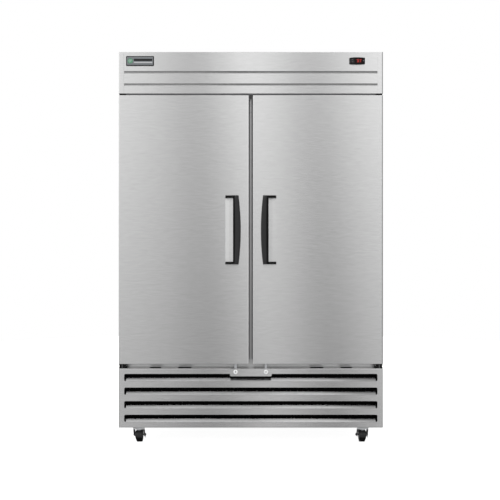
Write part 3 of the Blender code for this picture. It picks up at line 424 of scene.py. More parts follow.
# Darker zinc for the lower fork flanges and the brake strap: painted shade under the cabinet on the same plated steel.
ZINC_SHADE = surface("zinc_painted_shade", (0.03, 0.03, 0.032), (0.055, 0.055, 0.058), (0.3, 0.42), 0.6, 120, 3.0, 0.1)
STRUT = surface("plated_strut", (0.2, 0.2, 0.21), (0.3, 0.3, 0.31), (0.4, 0.5), 0.4, 120, 3.0, 0.1)
# Lighter zinc for the flanges' upper ends and the plate across the fork's front: a painted highlight on the same plated
# steel.
ZINC_HIGHLIGHT = surface("zinc_painted_highlight", (0.4, 0.41, 0.42), (0.52, 0.53, 0.54), (0.4, 0.5), 0.2, 120, 3.0, 0.1)
NUTS = surface("dull_zinc", (0.1, 0.1, 0.105), (0.2, 0.2, 0.21), (0.3, 0.42), 0.9, 200, 3.0, 0.1)


def repaint(material, *nodes, slot=None):
    """A carried-over CAD node keeps its shape and takes a new material."""
    for name in nodes:
        mesh = NODES[name].data
        mesh.materials.clear()
        mesh.materials.append(material)


# ---------------------------------------------------------------- measures from the frame
SKIN_LOW, SKIN_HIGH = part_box("door_skin_right")
FRONT_Y = SKIN_LOW.y
HALF = SKIN_HIGH.x
DOOR_X = SKIN_LOW.x
DOOR_Z = (SKIN_LOW.z, SKIN_HIGH.z)
HEADER_LOW, HEADER_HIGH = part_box("header_fascia")
GRILLE_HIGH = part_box("front_grille")[1]
FRAME_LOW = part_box("front_frame")[0]
HANDLE_LOW, HANDLE_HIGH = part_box("door_handle_right")
# The back of the doors' outer flange, and how far each axle stands behind its swivel.
DOOR_FLANGE_Y = FRONT_Y + 0.052
TRAIL = 0.022
WHEEL_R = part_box("caster_wheel_front_left")[1].z / 2


# ---------------------------------------------------------------- carried-over nodes
repaint(STEEL, "header_fascia", "front_grille", "lock_bracket")
# The face frame takes the darker copy of the steel: painted shade.
repaint(FRAME_STEEL_SHADE, "front_frame")
repaint(STEEL, "door_skin_left", "door_skin_right")
repaint(PANEL, "side_panel_left", "side_panel_right")
repaint(ZINC, "lock_bolt_left", "lock_bolt_right", slot="panel")
repaint(TOP, "top_panel")
repaint(GALVANISED, "back_panel", "rear_cover", "condenser_fan_shroud")
repaint(TRAY, "base_frame")
repaint(FOAM, "cabinet_insulation", "door_insulation_left", "door_insulation_right")
repaint(LINER, "interior_liner")
repaint(WHITE, "evaporator_housing", "door_liner_left", "door_liner_right")
repaint(GASKET, "door_gasket_left", "door_gasket_right")
repaint(BLACK, "door_handle_left", "door_handle_right")
repaint(BEZEL, "controller_bezel")
repaint(GLASS, "controller_window")
repaint(BADGE_EDGE, "name_badge")
repaint(CHROME, "lock_barrel_left", "lock_barrel_right")
repaint(PAINT, "compressor")
repaint(BEZEL, "button_up", "button_down", "button_set", slot="black_paint")
for side, tag in SIDES:
    repaint(HINGE, f"upper_hinge_{tag}", f"lower_hinge_{tag}")
    repaint(BLACK, f"caster_brake_front_{tag}", f"evaporator_fan_{tag}")
    for row in ("front", "back"):
        repaint(ZINC, f"caster_fork_{row}_{tag}")
        repaint(TREAD, f"caster_wheel_{row}_{tag}")
    for level in ("lower", "middle", "upper"):
        repaint(WIRE, f"shelf_{tag}_{level}")
repaint(BLACK_FINS, "condenser_coil")
repaint(FINS, "evaporator_coil", "condenser_fan")


# ---------------------------------------------------------------- more shapes
def loft(shape, rows, closed=False, bevel=0.0):
    """Joins rings of points, each of the same count, and fills the first and the last."""
    local = bmesh.new()
    made = [[local.verts.new(p) for p in row] for row in rows]
    count = len(rows[0])
    for a, b in zip(made, made[1:] + (made[:1] if closed else [])):
        for k in range(count):
            local.faces.new((a[k - 1], a[k], b[k], b[k - 1]))
    if not closed:
        local.faces.new(made[0])
        local.faces.new(made[-1])
    return shape.take(local, None, bevel)


def plate(shape, front, back):
    """A thin solid between two grids of points of the same size."""
    local = bmesh.new()
    grids = [[[local.verts.new(p) for p in row] for row in grid] for grid in (front, back)]
    rows, cols = len(front), len(front[0])
    for grid in grids:
        for i in range(rows - 1):
            for j in range(cols - 1):
                local.faces.new((grid[i][j], grid[i][j + 1], grid[i + 1][j + 1], grid[i + 1][j]))
    rim = [(0, j) for j in range(cols)] + [(i, cols - 1) for i in range(1, rows)]
    rim += [(rows - 1, j) for j in range(cols - 2, -1, -1)] + [(i, 0) for i in range(rows - 2, 0, -1)]
    for (i, j), (k, m) in zip(rim, rim[1:] + rim[:1]):
        local.faces.new((grids[0][i][j], grids[0][k][m], grids[1][k][m], grids[1][i][j]))
    return shape.take(local)


def sweep_frame(shape, x, z, profile):
    """Carries a closed profile of (inset, y) points round a rectangle with mitred corners."""
    corners = ((min(x), min(z), 1, 1), (max(x), min(z), -1, 1), (max(x), max(z), -1, -1), (min(x), max(z), 1, -1))
    rows = [[(cx + sx * i, y, cz + sz * i) for i, y in profile] for cx, cz, sx, sz in corners]
    return loft(shape, rows, closed=True)


def screw_head(shape, axis, centre, radius=0.0042, out=-1):
    """A pan head with a cross recess, standing proud of its surface along an axis."""
    high = 0.0022
    profile = [(0.0, 0.0), (radius, 0.0), (radius, 0.35 * high), (0.82 * radius, 0.85 * high), (0.4 * radius, high)]
    profile += [(0.3 * radius, 0.6 * high), (0.0, 0.55 * high)]
    return shape.ring(axis, centre, [(r, out * h) for r, h in profile], 14)


def blade(shape, centre, inner, outer, turn, chord, rise, camber, thick, sweep=0.25):
    """One curved fan blade on a Y axis."""
    front, back = [], []
    for i in range(7):
        t = i / 6
        radius = inner + (outer - inner) * t
        rows = ([], [])
        for j in range(7):
            u = j / 6
            angle = turn + sweep * t * t + (u - 0.5) * chord * (0.75 + 0.25 * t) * (1 - 0.12 * t ** 6)
            y = centre[1] + rise * (0.5 - u) + camber * (1 - (2 * u - 1) ** 2)
            edge = thick / 2 * (0.4 + 0.6 * (1 - (2 * u - 1) ** 2))
            x = centre[0] + radius * cos(angle)
            z = centre[2] + radius * sin(angle)
            rows[0].append((x, y - edge, z))
            rows[1].append((x, y + edge, z))
        front.append(rows[0])
        back.append(rows[1])
    return plate(shape, front, back)


def circle(centre, radius, count):
    """Points round a circle about a Y axis through its centre."""
    points = []
    for k in range(count):
        c, s = radius * cos(2 * pi * k / count), radius * sin(2 * pi * k / count)
        points.append((centre[0] + c, centre[1], centre[2] + s))
    return points


def fan_guard(name, centre, radius, y, material, rings, spokes, wire):
    """Wire rings and spokes in front of a fan."""
    guard = Shape()
    at = (centre[0], y, centre[2])
    for number in range(rings):
        guard.tube(circle(at, radius * (number + 1) / rings, 36), wire, 6, closed=True)
    for number in range(spokes):
        turn = pi * (number + 0.5) / spokes
        reach = radius * 1.03
        dx, dz = reach * cos(turn), reach * sin(turn)
        lift = y + 1.9 * wire
        guard.tube([(at[0] - dx, lift, at[2] - dz), (at[0] + dx, lift, at[2] + dz)], wire * 1.2, 6)
    return guard.done(name, material)


# ---------------------------------------------------------------- doors
HANDLE_MID_Z = (HANDLE_LOW.z + HANDLE_HIGH.z) / 2
HANDLE_HALF = (HANDLE_HIGH.z - HANDLE_LOW.z) / 2
# Across, from the middle of the front: the arms' outer ends, and the grip's edges at its middle and its ends.
ARM_END = HANDLE_HIGH.x
GRIP_BOW = HANDLE_LOW.x
GRIP_IN = 0.0927
GRIP_END = 0.0637
ARM_THICK = 0.0125


def make_handle(side, tag):
    """A moulded pull: a bowed grip with a soft face and a deep inner bevel, on two tapered arms."""
    shape = Shape()
    base, face = HANDLE_HIGH.y, HANDLE_LOW.y + 0.0004
    rows = []
    bevels = []
    for i in range(25):
        u = -1 + 2 * i / 24
        z = HANDLE_MID_Z + u * HANDLE_HALF
        near = GRIP_END + (GRIP_BOW - GRIP_END) * (1 - u * u)
        drop = 0.0018 * max(0.0, (abs(u) - 0.93) / 0.07) ** 2
        wide = GRIP_IN - near
        section = [
            (near + 0.001, base - 0.001), (near, base - 0.006), (near, face + 0.0075 + drop),
            (near + 0.0022, face + 0.0026 + drop), (near + 0.0068, face + 0.0006 + drop),
            (near + 0.4 * wide, face + drop), (near + 0.6 * wide, face + 0.0006 + drop),
            (near + 0.72 * wide, face + 0.0028 + drop), (GRIP_IN - 0.0016, face + 0.0118 + drop),
            (GRIP_IN, face + 0.015 + drop), (GRIP_IN, base - 0.004), (GRIP_IN - 0.003, base - 0.001),
        ]
        rows.append([(side * x, y, z) for x, y in section])
        high, low = (near + 0.73 * wide, face + 0.003 + drop), (GRIP_IN - 0.0012, face + 0.0122 + drop)
        corners = ((high, 0.0001, -0.0003), (low, 0.0003, -0.0001), (low, -0.0004, 0.0006), (high, -0.0004, 0.0006))
        ring = [(at[0] + across, at[1] + deep) for at, across, deep in corners]
        bevels.append([(side * x, y, z * 0.999 + HANDLE_MID_Z * 0.001) for x, y in ring])
    loft(shape, rows)
    shape.done(f"handle_{tag}", BLACK, f"door_{tag}", replaces=[f"door_handle_{tag}"])
    # A thin strip over the grip's inner bevel, in the arms' duller and darker black: painted shade on the face that
    # turns towards the pocket.
    bevel = Shape()
    loft(bevel, bevels)
    bevel.done(f"handle_bevel_shade_{tag}", ARM_AND_BEVEL_SHADE, f"door_{tag}")
    arms = Shape()
    for end in (-1, 1):
        outer = HANDLE_MID_Z + end * HANDLE_HALF
        inner = outer - end * ARM_THICK
        outline = [
            (side * ARM_END, base), (side * ARM_END, base - 0.007), (side * (ARM_END - 0.003), base - 0.012),
            (side * (GRIP_IN + 0.008), base - 0.019), (side * (GRIP_IN - 0.004), base - 0.02),
            (side * (GRIP_END + 0.01), base - 0.02), (side * (GRIP_END + 0.01), base),
        ]
        arms.prism("XY", outline, min(outer, inner), max(outer, inner), 0.0012)
    arms.done(f"handle_arms_{tag}", ARM_AND_BEVEL_SHADE, f"door_{tag}")


def make_pull_plate(side, tag):
    """A sheet in the handle's recess, turned slightly towards the middle."""
    lining = Shape()
    outline = [(0.1305, 0.0), (0.112, 0.0046), (0.0925, 0.005), (0.0925, 0.0055), (0.112, 0.005), (0.1305, 0.0005)]
    half = HANDLE_HALF - 0.007
    lining.prism("XY", [(side * x, FRONT_Y + y) for x, y in outline], HANDLE_MID_Z - half, HANDLE_MID_Z + half)
    lining.done(f"pull_plate_{tag}", STEEL, f"door_{tag}", smooth=10)


def make_edge_trims(side, tag):
    """Narrow bevelled returns at the outer edge of a door and of the header."""
    for name, body, proud, z in (
        (f"door_return_{tag}", f"door_{tag}", 0.0003, (DOOR_Z[0] + 0.001, DOOR_Z[1] - 0.001)),
        (f"header_return_{tag}", "cabinet", 0.0012, (1.8446, 2.061)),
    ):
        trim = Shape()
        outline = [(0.685, 0.0016), (0.6896, 0.0), (0.6896, -0.0006), (0.685, -0.0002)]
        trim.prism("XY", [(side * x, FRONT_Y - proud - y) for x, y in outline], *z)
        trim.done(name, STEEL, body, smooth=10)


def make_gasket(side, tag):
    """Vinyl bellows with a magnetic face, and the fin that shows between the doors."""
    low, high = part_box(f"door_gasket_{tag}")
    x = sorted((side * 0.014, high.x if side > 0 else low.x))
    back, face = low.y, high.y
    deep = face - back
    profile = [
        (0.0, face - 0.0006), (0.0, face - 0.0034), (0.0026, face - 0.0046), (0.0006, back + 0.45 * deep),
        (0.0028, back + 0.32 * deep), (0.001, back + 0.002), (0.0022, back), (0.013, back), (0.0144, back + 0.0022),
        (0.0124, back + 0.38 * deep), (0.0146, back + 0.5 * deep), (0.0126, face - 0.0044), (0.015, face - 0.0032),
        (0.015, face - 0.0004), (0.013, face), (0.002, face),
    ]
    shape = Shape()
    sweep_frame(shape, x, (low.z, high.z), profile)
    fin = [
        (side * 0.015, back + 0.0004), (side * 0.0052, back + 0.0012), (side * 0.0042, back + 0.003),
        (side * 0.0052, back + 0.0046), (side * 0.015, back + 0.0054),
    ]
    shape.prism("XY", fin, low.z, high.z)
    shape.done(f"gasket_{tag}", GASKET, f"door_{tag}", replaces=[f"door_gasket_{tag}"])


def make_door_details(side, tag):
    """A bead round the inner panel, its screws, and a hem at the door's inner edge in a lighter copy of the steel, a
    painted highlight.
    """
    body = f"door_{tag}"
    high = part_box(f"door_liner_{tag}")[1]
    inner = Shape()
    x = (side * 0.047, side * 0.613)
    z = (0.483, 1.789)
    rib = [(0.0, high.y - 0.0002), (0.0, high.y + 0.0012), (0.0015, high.y + 0.0022), (0.0085, high.y + 0.0022)]
    rib += [(0.01, high.y + 0.0012), (0.01, high.y - 0.0002)]
    sweep_frame(inner, x, z, rib)
    inner.done(f"inner_panel_bead_{tag}", WHITE, body)
    screws = Shape()
    for height in (0.4475, 0.9, 1.37, 1.8215):
        screw_head(screws, "Y", (side * 0.674, DOOR_FLANGE_Y, height), 0.0036, 1)
    for reach in (0.12, 0.26, 0.4, 0.54):
        for height in (0.4395, 1.8285):
            screw_head(screws, "Y", (side * reach, DOOR_FLANGE_Y, height), 0.0036, 1)
    screws.done(f"inner_panel_screws_{tag}", ZINC, body)
    Shape().box(
        (side * (DOOR_X + 0.0003), FRONT_Y - 0.00022, DOOR_Z[0] + 0.0012),
        (side * (DOOR_X + 0.0078), FRONT_Y + 0.0006, DOOR_Z[1] - 0.0012), 0.00018, 1,
    ).done(f"door_hem_{tag}", HEM_HIGHLIGHT, body)


def make_hinges(side, tag):
    """A cast block with a knuckle round the lower cams, and the bracket's rear screws."""
    ledge = GRILLE_HIGH.z + 0.0004
    top = DOOR_Z[0] - 0.0006
    waist = (ledge + top) / 2
    near, far = 0.657, HALF - 0.0022
    outline = [
        (near, ledge), (far, ledge), (far, waist - 0.0055), (far - 0.0022, waist), (far, waist + 0.0055), (far, top),
        (near, top), (near, waist + 0.004), (near + 0.0014, waist), (near, waist - 0.004),
    ]
    Shape().prism(
        "XZ", [(side * x, z) for x, z in outline], FRONT_Y + 0.005, FRONT_Y + 0.033, 0.0007, 2,
    ).done(f"hinge_block_{tag}", HINGE)
    Shape().rod(
        "Z", (side * (HALF - 0.018), FRONT_Y + 0.006, waist), 0.0032, top - ledge - 0.003, 20, 0.0006,
    ).done(f"hinge_knuckle_{tag}", HUB)
    screws = Shape()
    bracket_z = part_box(f"lower_hinge_{tag}")[0].z
    for reach in (0.012, 0.029):
        screw_head(screws, "Z", (side * (HALF - reach), FRONT_Y + 0.056, bracket_z + 0.0043), 0.0034, 1)
    screws.done(f"hinge_screws_{tag}", ZINC)


# ---------------------------------------------------------------- header
def segment(shape, a, b, wide, y, deep):
    """One bar of a digit, pointed at both ends."""
    a, b = Vector(a), Vector(b)
    along = (b - a).normalized()
    side = Vector((-along.y, along.x)) * wide / 2
    tip = along * wide / 2
    outline = [a, a + tip + side, b - tip + side, b, b - tip - side, a + tip - side]
    return shape.prism("XZ", [tuple(p) for p in outline], y, y + deep)


def make_controller():
    """Digits, a degree ring and a dot on the window, the marks on the keys, and a panel round two of the keys."""
    low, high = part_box("controller_window")
    y = low.y - 0.0003
    wide, tall, slant = 0.0066, 0.0126, 0.1
    bars = {
        "a": ((0, 1), (1, 1)), "b": ((1, 1), (1, 0.5)), "c": ((1, 0.5), (1, 0)), "d": ((0, 0), (1, 0)),
        "e": ((0, 0.5), (0, 0)), "f": ((0, 1), (0, 0.5)), "g": ((0, 0.5), (1, 0.5)),
    }
    lit = Shape()
    dim = Shape()
    centre_z = (low.z + high.z) / 2
    for place, marks in ((0.0078, "abgcd"), (0.0188, "abc")):
        for key, ends in bars.items():
            points = []
            for u, v in ends:
                x = low.x + place + u * wide + slant * (v - 0.5) * tall
                points.append((x, centre_z + (v - 0.5) * tall))
            a, b = Vector(points[0]), Vector(points[1])
            gap = (b - a).normalized() * 0.0005
            target = lit if key in marks else dim
            segment(target, a + gap, b - gap, 0.0013, y, 0.0003)
    degree = [(0.0005, -0.00015), (0.0012, -0.00015), (0.0012, 0.00015), (0.0005, 0.00015)]
    lit.ring("Y", (high.x - 0.0031, y + 0.00015, centre_z + 0.0066), degree, 16)
    lit.rod("Y", (low.x + 0.003, y + 0.00015, centre_z + 0.006), 0.0009, 0.0003, 12)
    lit.done("display_digits", DIGIT)
    dim.done("display_unlit_bars", UNLIT)
    marks = {
        "up": [(-0.0018, -0.001), (0.0018, -0.001), (0.0, 0.0014)],
        "down": [(-0.0018, 0.001), (0.0018, 0.001), (0.0, -0.0014)],
        "set": rounded((-0.0018, 0.0018), (-0.0009, 0.0009), 0.0008, 2),
    }
    for key, outline in marks.items():
        box_low, box_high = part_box(f"button_{key}")
        x, z = (box_low.x + box_high.x) / 2, (box_low.z + box_high.z) / 2
        Shape().prism(
            "XZ", [(x + u, z + v) for u, v in outline], box_low.y - 0.00012, box_low.y + 0.0002,
        ).done(f"key_mark_{key}", INK, f"button_{key}")
    bezel_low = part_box("controller_bezel")[0]
    panel = Shape()
    panel.prism(
        "XZ", rounded((bezel_low.x + 0.003, bezel_low.x + 0.0258), (centre_z - 0.0128, centre_z + 0.0128), 0.002, 3),
        bezel_low.y - 0.00025, bezel_low.y + 0.0002,
    )
    openings = []
    for name in ("up", "down"):
        box_low, box_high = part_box(f"button_{name}")
        grow = 0.0004
        corner = (box_low.x - grow, box_low.y - 0.002, box_low.z - grow)
        openings.append(Shape().box(corner, (box_high.x + grow, box_low.y + 0.003, box_high.z + grow)))
    carve(panel.done("key_panel", KEYPAD), *openings)


def make_badge():
    """A framed plate with a snow crystal and two plain bars."""
    low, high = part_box("name_badge")
    front = low.y
    middle_z = (low.z + high.z) / 2
    frame = Shape()
    rim = [
        (0.0, front - 0.0003), (0.0, front + 0.002), (0.003, front + 0.002), (0.0034, front - 0.0001),
        (0.0026, front - 0.0006), (0.0006, front - 0.0006),
    ]
    sweep_frame(frame, (low.x + 0.0004, high.x - 0.0004), (low.z + 0.0004, high.z - 0.0004), rim)
    frame.done("badge_rim", BADGE_EDGE)
    field = rounded((low.x + 0.0042, high.x - 0.0042), (low.z + 0.0042, high.z - 0.0042), 0.002, 3)
    Shape().prism("XZ", field, front - 0.0003, front + 0.0002).done("badge_field", BADGE)
    disc_x = low.x + 0.0215
    Shape().rod("Y", (disc_x, front - 0.0006, middle_z), 0.0135, 0.0008, 40, 0.0003, segments=1).done("badge_disc", ICE)
    crystal = Shape()
    for number in range(3):
        place = Matrix.Translation((disc_x, front - 0.00115, middle_z))
        place = place @ Matrix.Rotation(radians(60 * number), 4, "Y")
        crystal.take(block((0.0206, 0.00032, 0.0015)), place)
        for end in (-1, 1):
            for lean in (-1, 1):
                branch = Matrix.Rotation(radians(end * lean * 50), 4, "Y")
                fork, reach = Matrix.Translation((end * 0.0072, 0, 0)), Matrix.Translation((end * 0.0018, 0, 0))
                crystal.take(block((0.0042, 0.00032, 0.0011)), place @ (fork @ branch @ reach))
    crystal.done("badge_crystal", INK)
    across = (low.x + 0.0405, high.x - 0.0085)
    dark = rounded(across, (middle_z - 0.001, middle_z + 0.0105), 0.0015, 3)
    light = rounded(across, (middle_z - 0.0105, middle_z - 0.0058), 0.0012, 3)
    Shape().prism("XZ", dark, front - 0.0007, front).done("badge_bar_dark", BADGE_EDGE)
    Shape().prism("XZ", light, front - 0.0007, front).done("badge_bar_light", INK)


def make_header_caps():
    """End caps whose seams show on the header's face, and the seal strip under it."""
    for side, tag in SIDES:
        Shape().box(
            (side * 0.6628, FRONT_Y - 0.001, HEADER_LOW.z + 0.0012),
            (side * (HALF - 0.0006), FRONT_Y + 0.0004, HEADER_HIGH.z - 0.0012), 0.0006, 2,
        ).done(f"header_cap_{tag}", STEEL, smooth=20)
    strip = Shape()
    section = [
        (FRONT_Y + 0.004, HEADER_LOW.z + 0.001), (FRONT_Y + 0.004, DOOR_Z[1] + 0.0016),
        (FRONT_Y + 0.0052, DOOR_Z[1] + 0.0007), (FRONT_Y + 0.02, DOOR_Z[1] + 0.0007),
        (FRONT_Y + 0.02, HEADER_LOW.z + 0.001),
    ]
    strip.prism("YZ", section, -0.652, 0.652)
    strip.done("header_seal", SEAL)


# ---------------------------------------------------------------- locks and grille
def make_locks():
    """Each lock's ring, plug, body and keyhole, a near-black strip below their bracket that is a painted shadow, and
    near-black blocks in the ledge's cut-outs that are painted shade.
    """
    for _, tag in SIDES:
        low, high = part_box(f"lock_barrel_{tag}")
        x, z = (low.x + high.x) / 2, (low.z + high.z) / 2
        radius = (high.x - low.x) / 2
        face = low.y
        barrel = Shape()
        profile = [
            (0.0068, 0.0062), (0.0068, 0.0004), (0.008, 0.0), (0.0096, 0.0003), (0.0106, 0.0011), (radius, 0.0022),
            (radius, 0.003), (0.0088, 0.0034), (0.0088, 0.0062),
        ]
        barrel.ring("Y", (x, face, z), profile, 40)
        barrel.done(f"lock_ring_{tag}", RING_CHROME_HIGHLIGHT, f"lock_barrel_{tag}", replaces=[f"lock_barrel_{tag}"])
        plug = Shape()
        profile = [(0.0, 0.0062), (0.0, 0.0011), (0.005, 0.0009), (0.0056, 0.0013), (0.0066, 0.0013), (0.0066, 0.0062)]
        plug.ring("Y", (x, face, z), profile, 40)
        plug.done(f"lock_plug_{tag}", PLUG_CHROME_HIGHLIGHT, f"lock_barrel_{tag}")
        Shape().rod(
            "Y", (x, (face + 0.0056 + high.y) / 2, z), 0.0086, high.y - face - 0.0056, 24, 0.0004,
        ).done(f"lock_body_{tag}", ZINC, f"lock_barrel_{tag}")
        # The keyhole is a near-black insert: painted shade in the slot and its round recess.
        key = Shape()
        slit = [(x + u, z + v) for u, v in rounded((-0.0012, 0.0012), (-0.0044, 0.0044), 0.0008, 3)]
        key.prism("XZ", slit, face + 0.0006, face + 0.0016)
        key.rod("Y", (x, face + 0.00105, z), 0.0022, 0.001, 20)
        key.done(f"keyhole_{tag}", PAINTED_SHADE, f"lock_barrel_{tag}")
    # A near-black strip under the lock bracket: a painted shadow that the bracket casts on the louvre lip below it.
    shadow_strip = Shape()
    bracket_low, bracket_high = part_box("lock_bracket")
    low_z, wide = bracket_low.z, bracket_high.x - 0.0015
    outline = [
        (-wide, low_z - 0.0004), (-wide, low_z - 0.008), (-wide + 0.003, low_z - 0.011), (wide - 0.003, low_z - 0.011),
        (wide, low_z - 0.008), (wide, low_z - 0.0004),
    ]
    shadow_strip.prism("XZ", outline, FRONT_Y - 0.0016, FRONT_Y - 0.0003, 0.0004, 1)
    shadow_strip.done("bracket_painted_shadow", PAINTED_SHADE)
    # Near-black blocks filling the ledge's cut-outs: painted shade where the openings look dark.
    cutout_shade = Shape()
    for side, _ in SIDES:
        for start, end in ((0.312, 0.382), (0.472, 0.532)):
            cutout_shade.box(
                (side * (start + 0.0006), FRONT_Y + 0.0224, GRILLE_HIGH.z - 0.0012),
                (side * (end - 0.0006), FRONT_Y + 0.0456, GRILLE_HIGH.z + 0.0014), 0.0005, 2,
            )
    cutout_shade.done("ledge_cutout_painted_shade", PAINTED_SHADE)


def make_shade_filter():
    """A pleated near-black sheet in a black frame between the louvres and the condensing unit: painted shade, so that
    the louvre slots read dark.
    """
    x = 0.6775
    z = (0.1035, 0.3925)
    front, back = -0.352, -0.338
    frame = Shape()
    rail = [(0.0, front), (0.0, back), (0.012, back), (0.012, front + 0.0015), (0.0105, front)]
    sweep_frame(frame, (-x, x), z, rail)
    frame.done("filter_frame_painted_shade", TRAY)
    pleats = 150
    zigzag = []
    for i in range(pleats + 1):
        u = -x + 0.011 + (2 * x - 0.022) * i / pleats
        zigzag.append((u, front + 0.003 + (0.006 if i % 2 else 0.0)))
    outline = zigzag + [(u, v + 0.0016) for u, v in reversed(zigzag)]
    # The pleats take the near-black painted shade.
    Shape().prism("XY", outline, z[0] + 0.01, z[1] - 0.01).done("filter_pleats_painted_shade", PAINTED_SHADE, smooth=20)


def make_front_screws():
    """One screw in the mullion, and those at the sides of the grille and of the header."""
    screws = Shape()
    screw_head(screws, "Y", (0.0, FRAME_LOW.y, 1.757), 0.0032)
    for side, _ in SIDES:
        for z in (0.117, 0.3935, 1.875, 2.035):
            screw_head(screws, "X", (side * HALF, FRONT_Y + 0.03, z), 0.0042, side)
    screws.done("front_screws", ZINC)


# ---------------------------------------------------------------- casters
def both_sides(profile):
    """A wheel's closed profile from one half: hub to rim on the near side, and back on the far side."""
    near = [(radius, -across) for radius, across in profile]
    return near + [point for point in reversed(profile) if point[1]]


def make_caster(row, tag):
    """Zinc fork with bent legs and axle nuts, a wheel with a crowned tread, and the plate's bolts."""
    name = f"{row}_{tag}"
    fork_body, wheel_body = f"caster_fork_{name}", f"caster_wheel_{name}"
    wheel_low, wheel_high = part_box(wheel_body)
    axle = (wheel_low + wheel_high) / 2
    swivel_y = axle.y - TRAIL
    x, top = axle.x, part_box(fork_body)[1].z

    def at(back, z):
        return (swivel_y + back, z)

    crown = Shape()
    profile = [
        (0.0, 0.0), (0.0268, 0.0), (0.0272, -0.0012), (0.0268, -0.003), (0.024, -0.0036), (0.0232, -0.005),
        (0.024, -0.007), (0.0222, -0.0088), (0.0, -0.0088),
    ]
    crown.ring("Z", (x, swivel_y, top), profile, 40)
    bridge = rounded((x - 0.0245, x + 0.0245), (swivel_y - 0.0225, swivel_y + 0.0275), 0.006, 4)
    crown.prism("XY", bridge, top - 0.0108, top - 0.008, 0.001, 2)
    crown.ring("Z", (x, swivel_y, top - 0.0108), [(0.0, 0.0), (0.008, 0.0), (0.0076, -0.001), (0.0, -0.001)], 6)
    crown.done(f"caster_crown_{name}", ZINC, fork_body)
    struts = Shape()
    legs = Shape()
    wings = Shape()
    leg_top, leg_low = top - 0.009, axle.z - 0.01
    outline = [
        at(-0.02, leg_top), at(0.006, axle.z + 0.008), at(0.014, leg_low), at(0.029, leg_low),
        at(0.033, axle.z + 0.001), at(0.002, leg_top),
    ]
    for edge in (-1, 1):
        rows = []
        for reach_top, reach_low in ((0.0262, 0.0258), (0.024, 0.0231)):
            ring = []
            for v, z in outline:
                t = (leg_top - z) / (leg_top - leg_low)
                ring.append((x + edge * (reach_top + (reach_low - reach_top) * t), v, z))
            rows.append(ring)
        loft(struts, rows, bevel=0.0005)
        # A folded flange stiffens the leg's front edge; its upper end and a plate across the front take a lighter zinc
        # as a painted highlight, and its lower part a darker zinc as painted shade.
        for shape, z_high, z_low in ((wings, leg_top - 0.001, axle.z + 0.035), (legs, axle.z + 0.0345, axle.z + 0.003)):
            flange = []
            for z, reach in ((z_high, 0.0245), (z_high, 0.0308), (z_low, 0.0308), (z_low, 0.024)):
                slope = (leg_top - z) / (leg_top - axle.z - 0.008)
                flange.append((x + edge * reach, swivel_y - 0.02 + 0.026 * slope, z))
            loft(shape, [flange, [(px, py - 0.002, pz) for px, py, pz in flange]], bevel=0.0004)
    wings.box(
        (x - 0.0236, swivel_y - 0.0214, axle.z + 0.0368), (x + 0.0236, swivel_y - 0.02, leg_top + 0.0004), 0.0004, 1,
    )
    struts.done(f"caster_legs_{name}", STRUT, fork_body, replaces=[fork_body])
    legs.done(f"caster_flanges_{name}", ZINC_SHADE, fork_body)
    wings.done(f"caster_wings_{name}", ZINC_HIGHLIGHT, fork_body)
    nuts = Shape()
    # On each side a nut, the axle's rounded end and a washer.
    for edge in (-1, 1):
        for reach, *sizes in (
            (0.0284, 0.008, 0.0055, 6, 0.0006), (0.0318, 0.0046, 0.004, 16, 0.0008),
            (0.0249, 0.0095, 0.0012, 24, 0.0002),
        ):
            nuts.rod("X", (x + edge * reach, axle.y, axle.z), *sizes)
    nuts.rod("X", (x, axle.y, axle.z), 0.0045, 0.056, 16)
    nuts.done(f"axle_nuts_{name}", NUTS, fork_body)
    tab = Shape()
    corners = [(-0.0035, 0.004), (0.0035, 0.004), (0.0028, -0.0165), (-0.0028, -0.0165)]
    tab.prism("YZ", [(axle.y + v, axle.z + w) for v, w in corners], x + 0.03, x + 0.032, 0.0004, 1)
    tab.done(f"axle_tab_{name}", NUTS, fork_body)
    tread = Shape()
    r, half = WHEEL_R, (wheel_high.x - wheel_low.x) / 2
    profile = [
        (0.0265, half - 0.001), (0.03, half - 0.0004), (r - 0.0028, half), (r - 0.0008, half - 0.0008),
        (r - 0.0001, half - 0.0028), (r, half - 0.006),
    ]
    tread.ring("X", tuple(axle), both_sides(profile), 64)
    tread.done(f"wheel_tread_{name}", TREAD, wheel_body, replaces=[wheel_body])
    core = Shape()
    profile = [
        (0.0052, half + 0.0006), (0.011, half + 0.0006), (0.0118, half - 0.0022), (0.0235, half - 0.004),
        (0.0262, half - 0.0016), (0.0268, 0.0),
    ]
    core.ring("X", tuple(axle), both_sides(profile), 48)
    for number in range(6):
        turn = 2 * pi * number / 6
        place = Matrix.Translation(axle) @ Matrix.Rotation(turn, 4, "X") @ Matrix.Translation((0, 0, 0.0175))
        core.take(block((2 * half - 0.003, 0.0022, 0.013)), place, 0.0004, 1)
    core.done(f"wheel_core_{name}", HUB, wheel_body, slot="tread")
    mount = Shape()
    base_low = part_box("base_frame")[0]
    for sx in (-0.03, 0.03):
        for sy in (-0.017 if row == "front" else -0.036, 0.036):
            centre = (x + sx, swivel_y + sy, base_low.z)
            mount.ring(
                "Z", centre, [(0.0, 0.0), (0.0065, 0.0), (0.0065, -0.0036), (0.0052, -0.0044), (0.0, -0.0044)], 6,
            )
    mount.done(f"caster_bolts_{name}", ZINC)
    if row == "front":
        make_pedal(name, x, axle)


# Half the pedal's width at angles in degrees, up from behind the axle and over to the front.
PEDAL_WIDTHS = ((124, 0.0125), (140, 0.016), (156, 0.0195), (168, 0.0195), (188, 0.0175), (206, 0.015))


def pedal_half(angle):
    """Half the pedal's width at an angle up from behind the axle."""
    for (a, wide_a), (b, wide_b) in zip(PEDAL_WIDTHS, PEDAL_WIDTHS[1:]):
        if angle <= b:
            return wide_a + (wide_b - wide_a) * max(0.0, (angle - a) / (b - a))
    return PEDAL_WIDTHS[-1][1]


